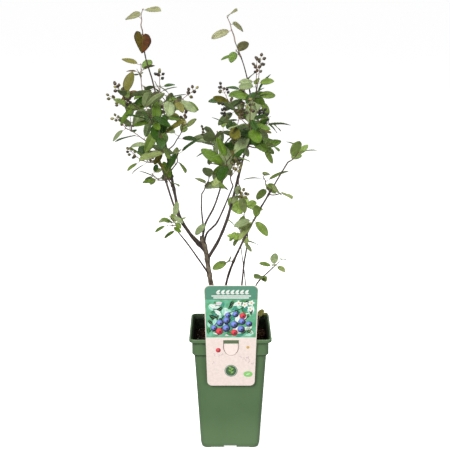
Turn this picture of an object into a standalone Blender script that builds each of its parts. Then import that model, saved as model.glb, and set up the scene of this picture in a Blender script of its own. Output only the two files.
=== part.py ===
# Serviceberry shrub with several thin stems, growing in a tall square nursery pot.
# Metres, +Z up, front of the pot towards -Y. The origin is the middle of the pot's underside.

import math
import random

import bmesh
import bpy
from mathutils import Matrix, Vector
from mathutils.bvhtree import BVHTree
from mathutils.geometry import tessellate_polygon

# Fits between neighbouring solids
clearance = 0.0003
leaf_clearance = 0.0007

# Pot: a square shell with rounded corners, given as half widths
pot_height = 0.196
rim_half = 0.0665
collar_half = 0.0618
body_top_half = 0.0583
body_base_half = 0.0487
corner_radius = 0.010
corner_steps = 3
pot_wall = 0.0014
collar_bottom = 0.1685
body_top = 0.166
lip_bottom = 0.1906
rim_top_width = 0.0034
rim_slope_bottom = 0.1885
chamfer_height = 0.008
chamfer_depth = 0.0019
floor_bottom = 0.0045
floor_top = 0.0075
boss_half = 0.012
notch_width = 0.021
notch_height = 0.005
foot_gap_width = 0.064
foot_gap_height = 0.0012
drain_radius = 0.004
drain_offset = 0.027

# Soil
soil_top = 0.173

# Plant label: a printed card that leans on the lip and hooks under it with a tongue
label_middle_x = 0.001
label_bottom = 0.1158
label_top = 0.291
label_bottom_half = 0.0384
label_top_half = 0.043
label_corner = 0.008
label_thickness = 0.0006
label_lean = math.radians(5.4)
slot_top = 0.1966
tongue_top = 0.1902
tongue_bottom = 0.170
tongue_half = 0.0125
tongue_slit = 0.0005
tongue_push = 0.0024
tongue_steps = (0.0, 0.35, 0.6, 0.8, 0.92, 0.97)

# Limbs: "on" and "at" name the limb that carries one and the place along it, "foot" is a place
# in the soil, and "via" are the bends that the limb passes on the way to its tip.
limbs = {
    "trunk": {
        "foot": (-0.012, 0.0), "via": [(-0.0315, 0.0, 0.269), (-0.0405, 0.0, 0.3275)],
        "tip": (-0.047, 0.0, 0.3475), "radii": (0.0048, 0.0032), "sides": 10,
    },
    "left_bough": {
        "on": "trunk", "at": 0.865,
        "via": [(-0.0765, -0.009, 0.373), (-0.086, -0.014, 0.4105), (-0.1035, -0.026, 0.5155),
                (-0.116, -0.035, 0.591), (-0.130, -0.040, 0.6445)],
        "tip": (-0.133, -0.043, 0.681), "radii": (0.0026, 0.0006), "sides": 7,
    },
    "left_back_bough": {
        "on": "trunk", "at": 0.905,
        "via": [(-0.074, 0.019, 0.3595), (-0.0905, 0.025, 0.3905), (-0.1095, 0.042, 0.446)],
        "tip": (-0.121, 0.050, 0.4825), "radii": (0.0019, 0.0010), "sides": 6,
    },
    "low_left_bough": {
        "on": "trunk", "at": 0.64, "via": [(-0.067, -0.020, 0.3405)],
        "tip": (-0.082, -0.035, 0.365), "radii": (0.0014, 0.0009), "sides": 5,
    },
    "right_bough": {
        "on": "trunk", "at": 0.79,
        "via": [(-0.013, -0.005, 0.358), (0.004, -0.010, 0.4155), (0.0195, -0.014, 0.480),
                (0.0345, -0.015, 0.5295), (0.0255, -0.015, 0.609)],
        "tip": (0.007, -0.012, 0.662), "radii": (0.0024, 0.0006), "sides": 7,
    },
    "middle_back_bough": {
        "on": "trunk", "at": 0.965, "via": [(-0.0425, 0.010, 0.364), (-0.0255, 0.035, 0.3945)],
        "tip": (-0.0115, 0.060, 0.434), "radii": (0.0017, 0.0010), "sides": 6,
    },
    "middle_spur": {
        "on": "middle_back_bough", "at": 0.16, "via": [(-0.047, 0.015, 0.3935)],
        "tip": (-0.0465, 0.020, 0.416), "radii": (0.0013, 0.0008), "sides": 5,
    },
    "middle_front_bough": {
        "on": "trunk", "at": 0.93, "via": [(-0.038, -0.010, 0.358), (-0.0215, -0.025, 0.3795)],
        "tip": (0.0035, -0.055, 0.4445), "radii": (0.0015, 0.0009), "sides": 6,
    },
    "right_stem": {
        "foot": (-0.010, -0.015),
        "via": [(-0.007, -0.017, 0.2745), (0.0265, -0.027, 0.3625), (0.061, -0.027, 0.427)],
        "tip": (0.090, -0.020, 0.4755), "radii": (0.0021, 0.0009), "sides": 7,
    },
    "inner_stem": {
        "foot": (0.012, 0.014), "via": [(0.0225, 0.024, 0.294), (0.029, 0.037, 0.3345)],
        "tip": (0.027, 0.045, 0.3555), "radii": (0.0017, 0.0009), "sides": 6,
    },
    "thin_shoot": {
        "foot": (0.028, 0.006), "via": [(0.025, 0.010, 0.2665)],
        "tip": (0.0175, 0.020, 0.3275), "radii": (0.0010, 0.0006), "sides": 5,
    },
    "low_shoot": {
        "foot": (0.014, -0.018), "via": [(0.041, -0.030, 0.2755)],
        "tip": (0.0655, -0.050, 0.310), "radii": (0.0013, 0.0008), "sides": 5,
    },
}
limb_rings = 11
smooth_steps = 12
trunk_flare = 0.45
flare_share = 0.12
stub_radius = 0.0026
stub_length = 0.0035

# Foliage masses: each is a spray on its own stem, which starts on a limb or in the soil.
# "tip" is the end of the stem. "leaves" sit on the stem, "twigs" are leafy side twigs,
# "racemes" are side twigs that end in fruit, "crest" is fruit at the stem's own end, and "bare"
# is the share of the stem without leaves or twigs. "face" is how far blades turn to the light
# at the front, for the open sprays whose leaves stand apart.
masses = {
    "left_leader": {
        "on": "left_bough", "at": 1.0, "tip": (-0.132, -0.045, 0.712), "bow": (-0.002, 0.0, 0.0),
        "leaves": 3, "twigs": 0, "racemes": 0, "crest": False, "bare": 0.35,
        "leaf": 0.042, "face": 1.6, "seed": 10870,
    },
    "left_leader_leaf": {
        "on": "left_bough", "at": 0.985, "tip": (-0.1325, -0.05, 0.6765), "bow": (0.0, 0.0, 0.0),
        "leaves": 1, "twigs": 0, "racemes": 0, "crest": False, "bare": 0.5, "leaf": 0.041, "seed": 8445,
    },
    "left_second_leader": {
        "on": "left_bough", "at": 0.604, "tip": (-0.14, 0.005, 0.626), "bow": (-0.012, 0.004, 0.0),
        "leaves": 6, "twigs": 0, "racemes": 0, "crest": False, "bare": 0.45,
        "leaf": 0.03, "face": 0.6, "seed": 10414,
    },
    "left_upper_fruit": {
        "on": "left_bough", "at": 0.694, "tip": (-0.11, -0.015, 0.595), "bow": (0.0, 0.0, 0.0),
        "leaves": 3, "twigs": 0, "racemes": 1, "crest": True, "bare": 0.3, "leaf": 0.028, "seed": 1234,
    },
    "left_outer_upper": {
        "on": "left_bough", "at": 0.631, "tip": (-0.162, -0.055, 0.583), "bow": (0.0, 0.0, -0.004),
        "leaves": 4, "twigs": 0, "racemes": 1, "crest": True, "bare": 0.3, "leaf": 0.034, "seed": 398,
    },
    "left_inner_upper": {
        "on": "left_bough", "at": 0.681, "tip": (-0.074, -0.05, 0.579), "bow": (0.0, 0.0, 0.003),
        "leaves": 5, "twigs": 1, "racemes": 0, "crest": True, "bare": 0.3, "leaf": 0.034, "seed": 1713,
    },
    "left_outer": {
        "on": "left_back_bough", "at": 1.0, "tip": (-0.172, 0.068, 0.517), "bow": (0.0, 0.0, 0.003),
        "leaves": 5, "twigs": 1, "racemes": 0, "crest": True, "bare": 0.25, "leaf": 0.03, "seed": 1893,
    },
    "left_heart": {
        "on": "left_bough", "at": 0.559, "tip": (-0.124, -0.075, 0.56), "bow": (0.0, -0.004, -0.003),
        "leaves": 6, "twigs": 1, "racemes": 0, "crest": False, "bare": 0.3, "leaf": 0.034, "seed": 1851,
    },
    "left_inner": {
        "on": "left_bough", "at": 0.492, "tip": (-0.076, 0.012, 0.529), "bow": (0.003, 0.0, -0.003),
        "leaves": 4, "twigs": 0, "racemes": 0, "crest": True, "bare": 0.5, "leaf": 0.03, "seed": 552,
    },
    "left_middle": {
        "on": "left_bough", "at": 0.455, "tip": (-0.106, -0.08, 0.53), "bow": (0.0, -0.004, -0.004),
        "leaves": 6, "twigs": 0, "racemes": 0, "crest": False, "bare": 0.35, "leaf": 0.036, "seed": 2163,
    },
    "left_low_inner": {
        "on": "left_bough", "at": 0.4, "tip": (-0.081, -0.05, 0.5), "bow": (0.003, 0.0, -0.003),
        "leaves": 4, "twigs": 0, "racemes": 0, "crest": False, "bare": 0.4, "leaf": 0.032, "seed": 4818,
    },
    "left_low_outer": {
        "on": "left_back_bough", "at": 0.9, "tip": (-0.148, 0.06, 0.465), "bow": (0.0, 0.0, -0.003),
        "leaves": 4, "twigs": 0, "racemes": 1, "crest": True, "bare": 0.3, "leaf": 0.032, "seed": 19471,
    },
    "left_low": {
        "on": "left_back_bough", "at": 0.72, "tip": (-0.13, 0.066, 0.44), "bow": (0.0, 0.0, -0.004),
        "leaves": 4, "twigs": 0, "racemes": 0, "crest": False, "bare": 0.35, "leaf": 0.026, "seed": 5,
    },
    "left_low_front": {
        "on": "left_bough", "at": 0.325, "tip": (-0.098, -0.062, 0.466), "bow": (0.0, 0.0, -0.004),
        "leaves": 4, "twigs": 0, "racemes": 0, "crest": False, "bare": 0.4, "leaf": 0.028, "seed": 8059,
    },
    "low_left": {
        "on": "low_left_bough", "at": 1.0, "tip": (-0.095, -0.052, 0.396), "bow": (0.002, 0.0, 0.0),
        "leaves": 5, "twigs": 1, "racemes": 0, "crest": False, "bare": 0.1,
        "leaf": 0.022, "face": 1.2, "seed": 10503,
    },
    "fork_leaf": {
        "on": "left_bough", "at": 0.045, "tip": (-0.06, -0.014, 0.352), "bow": (0.0, 0.0, 0.0),
        "leaves": 1, "twigs": 0, "racemes": 0, "crest": False, "bare": 0.5,
        "leaf": 0.028, "face": 1.2, "seed": 9902,
    },
    "right_leader": {
        "on": "right_bough", "at": 1.0, "tip": (-0.005, -0.005, 0.699), "bow": (0.001, 0.0, 0.0),
        "leaves": 3, "twigs": 0, "racemes": 0, "crest": False, "bare": 0.2,
        "leaf": 0.038, "face": 1.4, "seed": 11588,
    },
    "right_leader_leaves": {
        "on": "right_bough", "at": 0.935, "tip": (0.0085, -0.022, 0.651), "bow": (0.0, 0.0, 0.0),
        "leaves": 2, "twigs": 0, "racemes": 0, "crest": False, "bare": 0.2,
        "leaf": 0.036, "face": 1.4, "seed": 3807,
    },
    "right_top_outer": {
        "on": "right_bough", "at": 0.716, "tip": (0.039, -0.042, 0.607), "bow": (0.003, 0.0, 0.0),
        "leaves": 5, "twigs": 0, "racemes": 1, "crest": True, "bare": 0.35, "leaf": 0.03, "seed": 882,
    },
    "right_top_inner": {
        "on": "right_bough", "at": 0.686, "tip": (0.02, 0.022, 0.591), "bow": (0.0, 0.004, -0.003),
        "leaves": 6, "twigs": 1, "racemes": 0, "crest": False, "bare": 0.35, "leaf": 0.03, "seed": 852,
    },
    "right_top_left": {
        "on": "right_bough", "at": 0.644, "tip": (-0.004, 0.045, 0.566), "bow": (0.0, 0.004, -0.004),
        "leaves": 5, "twigs": 0, "racemes": 1, "crest": True, "bare": 0.4, "leaf": 0.03, "seed": 572,
    },
    "right_left_fruit": {
        "on": "right_bough", "at": 0.525, "tip": (-0.004, -0.05, 0.541), "bow": (0.0, -0.004, -0.004),
        "leaves": 5, "twigs": 0, "racemes": 1, "crest": True, "bare": 0.4, "leaf": 0.032, "seed": 1696,
    },
    "right_outer": {
        "on": "right_bough", "at": 0.636, "tip": (0.062, 0.028, 0.536), "bow": (0.003, 0.0, -0.006),
        "leaves": 5, "twigs": 0, "racemes": 1, "crest": False, "bare": 0.4, "leaf": 0.03, "seed": 2239,
    },
    "right_outer_low": {
        "on": "right_bough", "at": 0.547, "tip": (0.064, -0.03, 0.506), "bow": (0.0, 0.0, -0.004),
        "leaves": 6, "twigs": 0, "racemes": 0, "crest": False, "bare": 0.4, "leaf": 0.028, "seed": 743,
    },
    "right_middle": {
        "on": "right_bough", "at": 0.576, "tip": (0.029, -0.072, 0.553), "bow": (0.0, -0.003, -0.004),
        "leaves": 6, "twigs": 1, "racemes": 0, "crest": True, "bare": 0.35, "leaf": 0.034, "seed": 682,
    },
    "middle_top": {
        "on": "middle_back_bough", "at": 1.0, "tip": (-0.022, 0.075, 0.51), "bow": (-0.003, 0.0, 0.0),
        "leaves": 6, "twigs": 1, "racemes": 1, "crest": False, "bare": 0.35, "leaf": 0.038, "seed": 600,
    },
    "middle_front": {
        "on": "middle_front_bough", "at": 1.0, "tip": (-0.007, -0.092, 0.492), "bow": (0.0, -0.003, 0.0),
        "leaves": 6, "twigs": 1, "racemes": 1, "crest": False, "bare": 0.3, "leaf": 0.038, "seed": 530,
    },
    "middle_low": {
        "on": "middle_spur", "at": 1.0, "tip": (-0.033, 0.03, 0.446), "bow": (0.0, 0.0, -0.002),
        "leaves": 6, "twigs": 0, "racemes": 0, "crest": False, "bare": 0.4, "leaf": 0.034, "seed": 544,
    },
    "right_low": {
        "on": "right_bough", "at": 0.407, "tip": (0.016, -0.045, 0.43), "bow": (0.0, 0.0, -0.003),
        "leaves": 2, "twigs": 0, "racemes": 0, "crest": True, "bare": 0.4,
        "leaf": 0.024, "face": 1.2, "seed": 11161,
    },
    "right_stem_top": {
        "on": "right_stem", "at": 1.0, "tip": (0.108, -0.02, 0.498), "bow": (0.003, 0.0, -0.002),
        "leaves": 4, "twigs": 0, "racemes": 0, "crest": False, "bare": 0.0,
        "leaf": 0.032, "face": 0.8, "seed": 7934,
    },
    "right_stem_inner": {
        "on": "right_stem", "at": 0.83, "tip": (0.053, 0.012, 0.446), "bow": (0.0, 0.003, 0.0),
        "leaves": 4, "twigs": 0, "racemes": 0, "crest": False, "bare": 0.35, "leaf": 0.028, "seed": 19823,
    },
    "right_stem_outer": {
        "on": "right_stem", "at": 0.82, "tip": (0.08, -0.044, 0.432), "bow": (0.0, 0.0, -0.002),
        "leaves": 3, "twigs": 0, "racemes": 0, "crest": False, "bare": 0.4,
        "leaf": 0.032, "face": 1.2, "seed": 18148,
    },
    "right_stem_low": {
        "on": "right_stem", "at": 0.7, "tip": (0.036, -0.056, 0.392), "bow": (0.0, 0.0, -0.002),
        "leaves": 4, "twigs": 0, "racemes": 0, "crest": False, "bare": 0.3,
        "leaf": 0.03, "face": 1.2, "seed": 12044,
    },
    "lone_leaf": {
        "on": "right_stem", "at": 0.44, "tip": (-0.001, -0.034, 0.318), "bow": (0.0, 0.0, 0.0),
        "leaves": 1, "twigs": 0, "racemes": 0, "crest": False, "bare": 0.5,
        "leaf": 0.04, "face": 1.4, "seed": 6921,
    },
    "inner_stem_top": {
        "on": "inner_stem", "at": 1.0, "tip": (0.021, 0.05, 0.389), "bow": (0.0, 0.0, 0.0),
        "leaves": 3, "twigs": 0, "racemes": 0, "crest": False, "bare": 0.3,
        "leaf": 0.036, "face": 1.6, "seed": 7401,
    },
    "inner_stem_middle": {
        "on": "inner_stem", "at": 0.87, "tip": (0.012, 0.055, 0.352), "bow": (0.0, 0.0, 0.0),
        "leaves": 5, "twigs": 0, "racemes": 0, "crest": False, "bare": 0.25,
        "leaf": 0.027, "face": 0.6, "seed": 12072,
    },
    "thin_shoot_top": {
        "on": "thin_shoot", "at": 1.0, "tip": (0.022, 0.022, 0.342), "bow": (0.0, 0.0, 0.0),
        "leaves": 3, "twigs": 0, "racemes": 0, "crest": False, "bare": 0.2,
        "leaf": 0.026, "face": 1.2, "seed": 8419,
    },
    "low_shoot_top": {
        "on": "low_shoot", "at": 1.0, "tip": (0.076, -0.055, 0.322), "bow": (0.0, 0.0, 0.0),
        "leaves": 4, "twigs": 0, "racemes": 0, "crest": False, "bare": 0.15,
        "leaf": 0.026, "face": 0.8, "seed": 2968,
    },
    "low_shoot_leaf": {
        "on": "low_shoot", "at": 0.78, "tip": (0.05, -0.044, 0.296), "bow": (0.0, 0.0, 0.0),
        "leaves": 1, "twigs": 0, "racemes": 0, "crest": False, "bare": 0.5,
        "leaf": 0.04, "face": 1.2, "seed": 9443,
    },
    "corner_sucker": {
        "foot": (0.046, 0.046), "tip": (0.051, 0.048, 0.203), "bow": (0.0, 0.0, 0.0),
        "leaves": 2, "twigs": 0, "racemes": 0, "crest": False, "bare": 0.4,
        "leaf": 0.022, "face": 1.2, "seed": 4439,
    },
    "left_upper_back": {
        "on": "left_bough", "at": 0.586, "tip": (-0.104, 0.052, 0.572), "bow": (0.0, 0.006, -0.006),
        "leaves": 6, "twigs": 1, "racemes": 1, "crest": False, "bare": 0.4, "leaf": 0.032, "seed": 146,
    },
    "left_back": {
        "on": "left_back_bough", "at": 0.96, "tip": (-0.118, 0.108, 0.54), "bow": (0.0, 0.006, -0.004),
        "leaves": 6, "twigs": 1, "racemes": 0, "crest": False, "bare": 0.35, "leaf": 0.034, "seed": 898,
    },
    "right_back": {
        "on": "right_bough", "at": 0.602, "tip": (0.04, 0.088, 0.528), "bow": (0.0, 0.004, -0.008),
        "leaves": 6, "twigs": 1, "racemes": 0, "crest": False, "bare": 0.35, "leaf": 0.032, "seed": 303,
    },
    "middle_back": {
        "on": "middle_back_bough", "at": 0.9, "tip": (-0.02, 0.125, 0.478), "bow": (0.0, 0.006, -0.006),
        "leaves": 6, "twigs": 1, "racemes": 0, "crest": False, "bare": 0.4, "leaf": 0.034, "seed": 1957,
    },
}

# Growth rule that all masses share
golden_angle = math.radians(137.5)
space_radius = 0.055
stem_rings = 5
stem_radii = (0.0010, 0.0006)
stem_kink = 0.0009
twig_radii = (0.0008, 0.0005)
twig_length = (0.016, 0.030)
twig_spread = math.radians(52)
twig_leaves = 3
leaf_spread = math.radians(62)
leaf_length_change = 0.28
leaf_width_share = (0.44, 0.60)
leaf_thickness = 0.0010
leaf_fold = 0.16
leaf_curl = 0.10
leaf_roll = math.radians(30)
leaf_pitch = (-0.45, 0.30)
leaf_flatness = 0.55
blade_pitch = (-0.45, 0.30)
light_side = Vector((0.0, -0.92, 0.40))
leaf_rim = ((0.28, 0.90), (0.72, 0.88), (1.0, 0.0), (0.72, -0.88), (0.28, -0.90))
petiole_length = (0.007, 0.011)
petiole_radius = 0.00045
raceme_length = (0.020, 0.030)
raceme_lift = 0.55
raceme_radii = (0.0006, 0.00045)
berry_count = (4, 6)
berry_radius = 0.0026
berry_sides = 4
pedicel_radius = 0.0004
pedicel_length = (0.0085, 0.0055)
pedicel_spread = math.radians(58)

# Colours: red, green, blue in linear light, then roughness
finishes = {
    "pot": ((0.107, 0.195, 0.080), 0.45),
    "soil": ((0.030, 0.018, 0.012), 0.95),
    "plant_label": ((0.60, 0.72, 0.62), 0.30),
    "trunk": ((0.190, 0.140, 0.090), 0.85),
    "bough": ((0.085, 0.052, 0.034), 0.80),
    "foliage": ((0.090, 0.200, 0.045), 0.55),
}


def clear_scene():
    for thing in list(bpy.data.objects):
        bpy.data.objects.remove(thing, do_unlink=True)


def finish(name):
    # One plain material for each kind of finish
    if name in bpy.data.materials:
        return bpy.data.materials[name]
    colour, roughness = finishes[name]
    material = bpy.data.materials.new(name)
    material.use_nodes = True
    shader = material.node_tree.nodes["Principled BSDF"]
    shader.inputs["Base Color"].default_value = (*colour, 1.0)
    shader.inputs["Roughness"].default_value = roughness
    shader.inputs["Metallic"].default_value = 0.0
    material.diffuse_color = (*colour, 1.0)
    return material


def solid(name, shape, finish_name):
    # One object from a shape, which is a pair: its points and its faces
    points, faces = shape
    mesh = bpy.data.meshes.new(name)
    mesh.from_pydata([tuple(point) for point in points], [], faces)
    work = bmesh.new()
    work.from_mesh(mesh)
    bmesh.ops.recalc_face_normals(work, faces=work.faces[:])
    work.to_mesh(mesh)
    work.free()
    mesh.materials.append(finish(finish_name))
    thing = bpy.data.objects.new(name, mesh)
    bpy.context.scene.collection.objects.link(thing)
    return thing


def apply_boolean(thing, operation, operand=None, collection=None, solver="EXACT"):
    # Applies one Boolean, with an object or a whole collection as its operand
    modifier = thing.modifiers.new("join", "BOOLEAN")
    modifier.operation = operation
    modifier.solver = solver
    if collection is not None:
        modifier.operand_type = "COLLECTION"
        modifier.collection = collection
    else:
        modifier.object = operand
    graph = bpy.context.evaluated_depsgraph_get()
    mesh = bpy.data.meshes.new_from_object(thing.evaluated_get(graph))
    thing.modifiers.remove(modifier)
    old_mesh = thing.data
    thing.data = mesh
    mesh.name = thing.name
    bpy.data.meshes.remove(old_mesh)


def smooth(thing, angle=math.radians(40)):
    thing.data.shade_smooth()
    thing.data.set_sharp_from_angle(angle=angle)


def stacked_rings(rings):
    # Joins rings of equally many points into one closed shape with a cap at each end
    count = len(rings[0])
    points = [point for ring in rings for point in ring]
    faces = [list(range(count))]
    for level in range(len(rings) - 1):
        start = level * count
        for i in range(count):
            j = (i + 1) % count
            faces.append([start + i, start + j, start + count + j, start + count + i])
    last = (len(rings) - 1) * count
    faces.append([last + count - 1 - i for i in range(count)])
    return points, faces


def square_ring(half, corner, height):
    # A square with rounded corners, anticlockwise
    points = []
    for quarter in range(4):
        turn = quarter * math.pi / 2
        middle = Matrix.Rotation(turn, 3, "Z") @ Vector((half - corner, half - corner, 0.0))
        for step in range(corner_steps + 1):
            angle = turn + math.pi / 2 * step / corner_steps
            offset = Vector((math.cos(angle), math.sin(angle), 0.0)) * corner
            points.append(middle + offset + Vector((0.0, 0.0, height)))
    return points


def box_shape(low, high):
    xs, ys, zs = zip(low, high)
    points = [Vector((x, y, z)) for z in zs for y in ys for x in xs]
    faces = [[0, 2, 3, 1], [4, 5, 7, 6], [0, 1, 5, 4], [2, 6, 7, 3], [0, 4, 6, 2], [1, 3, 7, 5]]
    return points, faces


def body_half(height):
    # Half width of the tapered body at a height above its chamfer
    share = (height - chamfer_height) / (body_top - chamfer_height)
    return body_base_half + (body_top_half - body_base_half) * share


def make_pot():
    lip_edge = 0.0008
    skirt_half = body_base_half - chamfer_depth - pot_wall
    profile = [
        (boss_half, boss_half * 0.9, 0.0),
        (boss_half, boss_half * 0.9, floor_bottom),
        (skirt_half, corner_radius - pot_wall, floor_bottom),
        (skirt_half, corner_radius - pot_wall, 0.0),
        (body_base_half - chamfer_depth, corner_radius, 0.0),
        (body_base_half, corner_radius, chamfer_height),
        (body_top_half, corner_radius, body_top),
        (collar_half - lip_edge, corner_radius, collar_bottom - lip_edge),
        (collar_half, corner_radius, collar_bottom + lip_edge),
        (collar_half, corner_radius, lip_bottom - lip_edge),
        (rim_half - lip_edge, corner_radius, lip_bottom),
        (rim_half, corner_radius, lip_bottom + lip_edge),
        (rim_half, corner_radius, pot_height - lip_edge),
        (rim_half - lip_edge, corner_radius, pot_height),
        (rim_half - rim_top_width, corner_radius - rim_top_width, pot_height),
        (collar_half - pot_wall, corner_radius - pot_wall, rim_slope_bottom),
        (collar_half - pot_wall, corner_radius - pot_wall, collar_bottom + lip_edge),
        (body_half(body_top) - pot_wall, corner_radius - pot_wall, body_top - lip_edge),
        (body_half(floor_top) - pot_wall, corner_radius - pot_wall, floor_top),
    ]
    pot = solid("pot", stacked_rings([square_ring(*row) for row in profile]), "pot")
    cut_feet(pot)
    cut_drains(pot)
    smooth(pot, math.radians(28))


def cut_feet(pot):
    # Notches through the skirt leave a foot under each corner
    depth = chamfer_depth + 2 * pot_wall
    for quarter in range(4):
        turn = Matrix.Rotation(quarter * math.pi / 2, 3, "Z")
        for width, height in ((notch_width, notch_height), (foot_gap_width, foot_gap_height)):
            low = (-width / 2, -body_base_half - 0.001, -0.001)
            high = (width / 2, -body_base_half + depth, min(height, floor_bottom - 0.0002))
            points, faces = box_shape(low, high)
            cutter = solid("notch", ([turn @ point for point in points], faces), "pot")
            cutter.hide_render = True
            cutter.display_type = "WIRE"
            apply_boolean(pot, "DIFFERENCE", cutter)
            bpy.data.objects.remove(cutter, do_unlink=True)


def cut_drains(pot):
    sides = 10
    for x in (-drain_offset, drain_offset):
        for y in (-drain_offset, drain_offset):
            ends = (Vector((x, y, floor_bottom - 0.002)), Vector((x, y, floor_top + 0.002)))
            cutter = solid("drain", tube_shape(ends, (drain_radius, drain_radius), sides), "pot")
            cutter.hide_render = True
            cutter.display_type = "WIRE"
            apply_boolean(pot, "DIFFERENCE", cutter)
            bpy.data.objects.remove(cutter, do_unlink=True)


def make_soil():
    # Fills the pot up to just above the step of its collar
    inner = pot_wall + clearance
    corner = corner_radius - inner
    profile = [
        (body_half(floor_top) - inner, corner, floor_top + clearance),
        (body_half(body_top) - inner, corner, body_top - 0.0008),
        (collar_half - inner, corner, collar_bottom + 0.0012),
        (collar_half - inner, corner, soil_top - 0.0015),
        (collar_half - inner - 0.004, corner, soil_top),
    ]
    soil = solid("soil", stacked_rings([square_ring(*row) for row in profile]), "soil")
    smooth(soil, math.radians(28))


def label_outline():
    # A rounded rectangle that narrows downwards, anticlockwise from its lower left corner
    corners = [
        (-label_bottom_half, label_bottom, 180), (label_bottom_half, label_bottom, 270),
        (label_top_half, label_top, 0), (-label_top_half, label_top, 90),
    ]
    points = []
    for x, z, first_angle in corners:
        middle_x = x - math.copysign(label_corner, x)
        middle_z = z + (label_corner if z == label_bottom else -label_corner)
        for step in range(corner_steps + 1):
            angle = math.radians(first_angle + 90 * step / corner_steps)
            x_out = label_corner * math.cos(angle)
            z_out = label_corner * math.sin(angle)
            points.append((middle_x + x_out, middle_z + z_out))
    return points


def tongue_width(share, half):
    # Half width of the tongue: it narrows to a round lower end
    return half * math.sqrt(1.0 - share ** 2.6)


def slot_outline():
    # The slot over the tongue and the slits beside it, as one opening
    height = tongue_top - tongue_bottom
    outer = [(tongue_width(share, tongue_half), tongue_top - height * share) for share in tongue_steps]
    inner = [(tongue_width(share, tongue_half) - tongue_slit, tongue_top - height * share)
             for share in tongue_steps]
    right = [(tongue_half, slot_top)] + outer + inner[::-1]
    left = [(-x, z) for x, z in right[::-1]]
    return right + left


def card_place(x, z, depth):
    # Bends the flat card into place: it leans back, and the tongue is pushed under the lip
    share = (tongue_top - z) / (tongue_top - tongue_bottom)
    push = 0.0
    if 0.0 <= share < 1.0 and abs(x) < tongue_width(share, tongue_half) - tongue_slit / 2:
        push = tongue_push * (1.0 - share)
    back = -rim_half - clearance - (z - lip_bottom) * math.tan(label_lean)
    return Vector((x + label_middle_x, back - label_thickness + depth + push, z))


def make_label():
    outline = label_outline()
    slot = slot_outline()
    flat = outline + slot
    loops = [[Vector((x, z, 0.0)) for x, z in outline], [Vector((x, z, 0.0)) for x, z in slot]]
    front = [list(face) for face in tessellate_polygon(loops)]
    count = len(flat)
    points = [card_place(x, z, 0.0) for x, z in flat]
    points += [card_place(x, z, label_thickness) for x, z in flat]
    faces = front + [[i + count for i in reversed(face)] for face in front]
    for first, length in ((0, len(outline)), (len(outline), len(slot))):
        for i in range(length):
            a = first + i
            b = first + (i + 1) % length
            faces.append([a, b, b + count, a + count])
    label = solid("plant_label", (points, faces), "plant_label")
    smooth(label, math.radians(30))


def bowed_path(start, tip, bow, count):
    # Points on a line that swings out by "bow" at its middle
    points = []
    for i in range(count):
        share = i / (count - 1)
        points.append(start.lerp(tip, share) + bow * math.sin(math.pi * share))
    return points


def path_point(points, share):
    # Place and direction at a share of a path's length of steps
    place = min(max(share, 0.0), 1.0) * (len(points) - 1)
    step = min(int(place), len(points) - 2)
    point = points[step].lerp(points[step + 1], place - step)
    return point, (points[step + 1] - points[step]).normalized()


def side_axes(direction):
    # Two directions square to a given one, the first of them level
    level = direction.cross(Vector((0.0, 0.0, 1.0)))
    if level.length < 0.05:
        level = direction.cross(Vector((1.0, 0.0, 0.0)))
    level.normalize()
    return level, level.cross(direction).normalized()


def tube_shape(points, radii, sides, swell=0.0):
    # A round tube along points, its radius going from the first value to the second
    rings = []
    level, across = side_axes((points[1] - points[0]).normalized())
    for i, point in enumerate(points):
        before = points[max(i - 1, 0)]
        after = points[min(i + 1, len(points) - 1)]
        direction = (after - before).normalized()
        level = (level - direction * level.dot(direction)).normalized()
        across = direction.cross(level)
        share = i / (len(points) - 1)
        radius = radii[0] + (radii[-1] - radii[0]) * share + swell
        if len(radii) == len(points):
            radius = radii[i] + swell
        ring = []
        for side in range(sides):
            angle = 2 * math.pi * side / sides
            ring.append(point + (level * math.cos(angle) + across * math.sin(angle)) * radius)
        rings.append(ring)
    return stacked_rings(rings)


def leaf_shape(leaf, swell=0.0):
    # A leaf as one closed shape: a three-sided stalk that opens into a thin folded blade
    length = leaf["length"]
    half = leaf["width"] / 2
    along = leaf["direction"]
    normal = leaf["normal"]
    across = normal.cross(along)
    thick = petiole_radius + swell
    points = []
    for end in (leaf["foot"], leaf["base"]):
        points += [end - across * thick, end + across * thick, end - normal * thick]
    for share, side in leaf_rim:
        lift = leaf_fold * half * abs(side) - leaf_curl * length * share * share
        outward = along * (share * length) + across * (side * half)
        if swell:
            outward += along * math.copysign(swell, share - 0.5) + across * (side * swell)
        points.append(leaf["base"] + outward + normal * lift)
    middle = leaf["base"] + along * (0.5 * length) - normal * (leaf_curl * length * 0.25)
    points.append(middle + normal * (leaf_thickness / 2 + swell))
    points.append(middle - normal * (leaf_thickness / 2 + swell))
    rim = [4] + list(range(6, 6 + len(leaf_rim))) + [3]
    top = len(points) - 2
    bottom = top + 1
    faces = [[0, 1, 2], [0, 3, 4, 1], [1, 4, 5, 2], [2, 5, 3, 0], [3, 4, top]]
    for i in range(len(rim) - 1):
        faces.append([rim[i], rim[i + 1], top])
        faces.append([rim[i + 1], rim[i], bottom])
    faces += [[4, 5, bottom], [5, 3, bottom]]
    return points, faces


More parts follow.
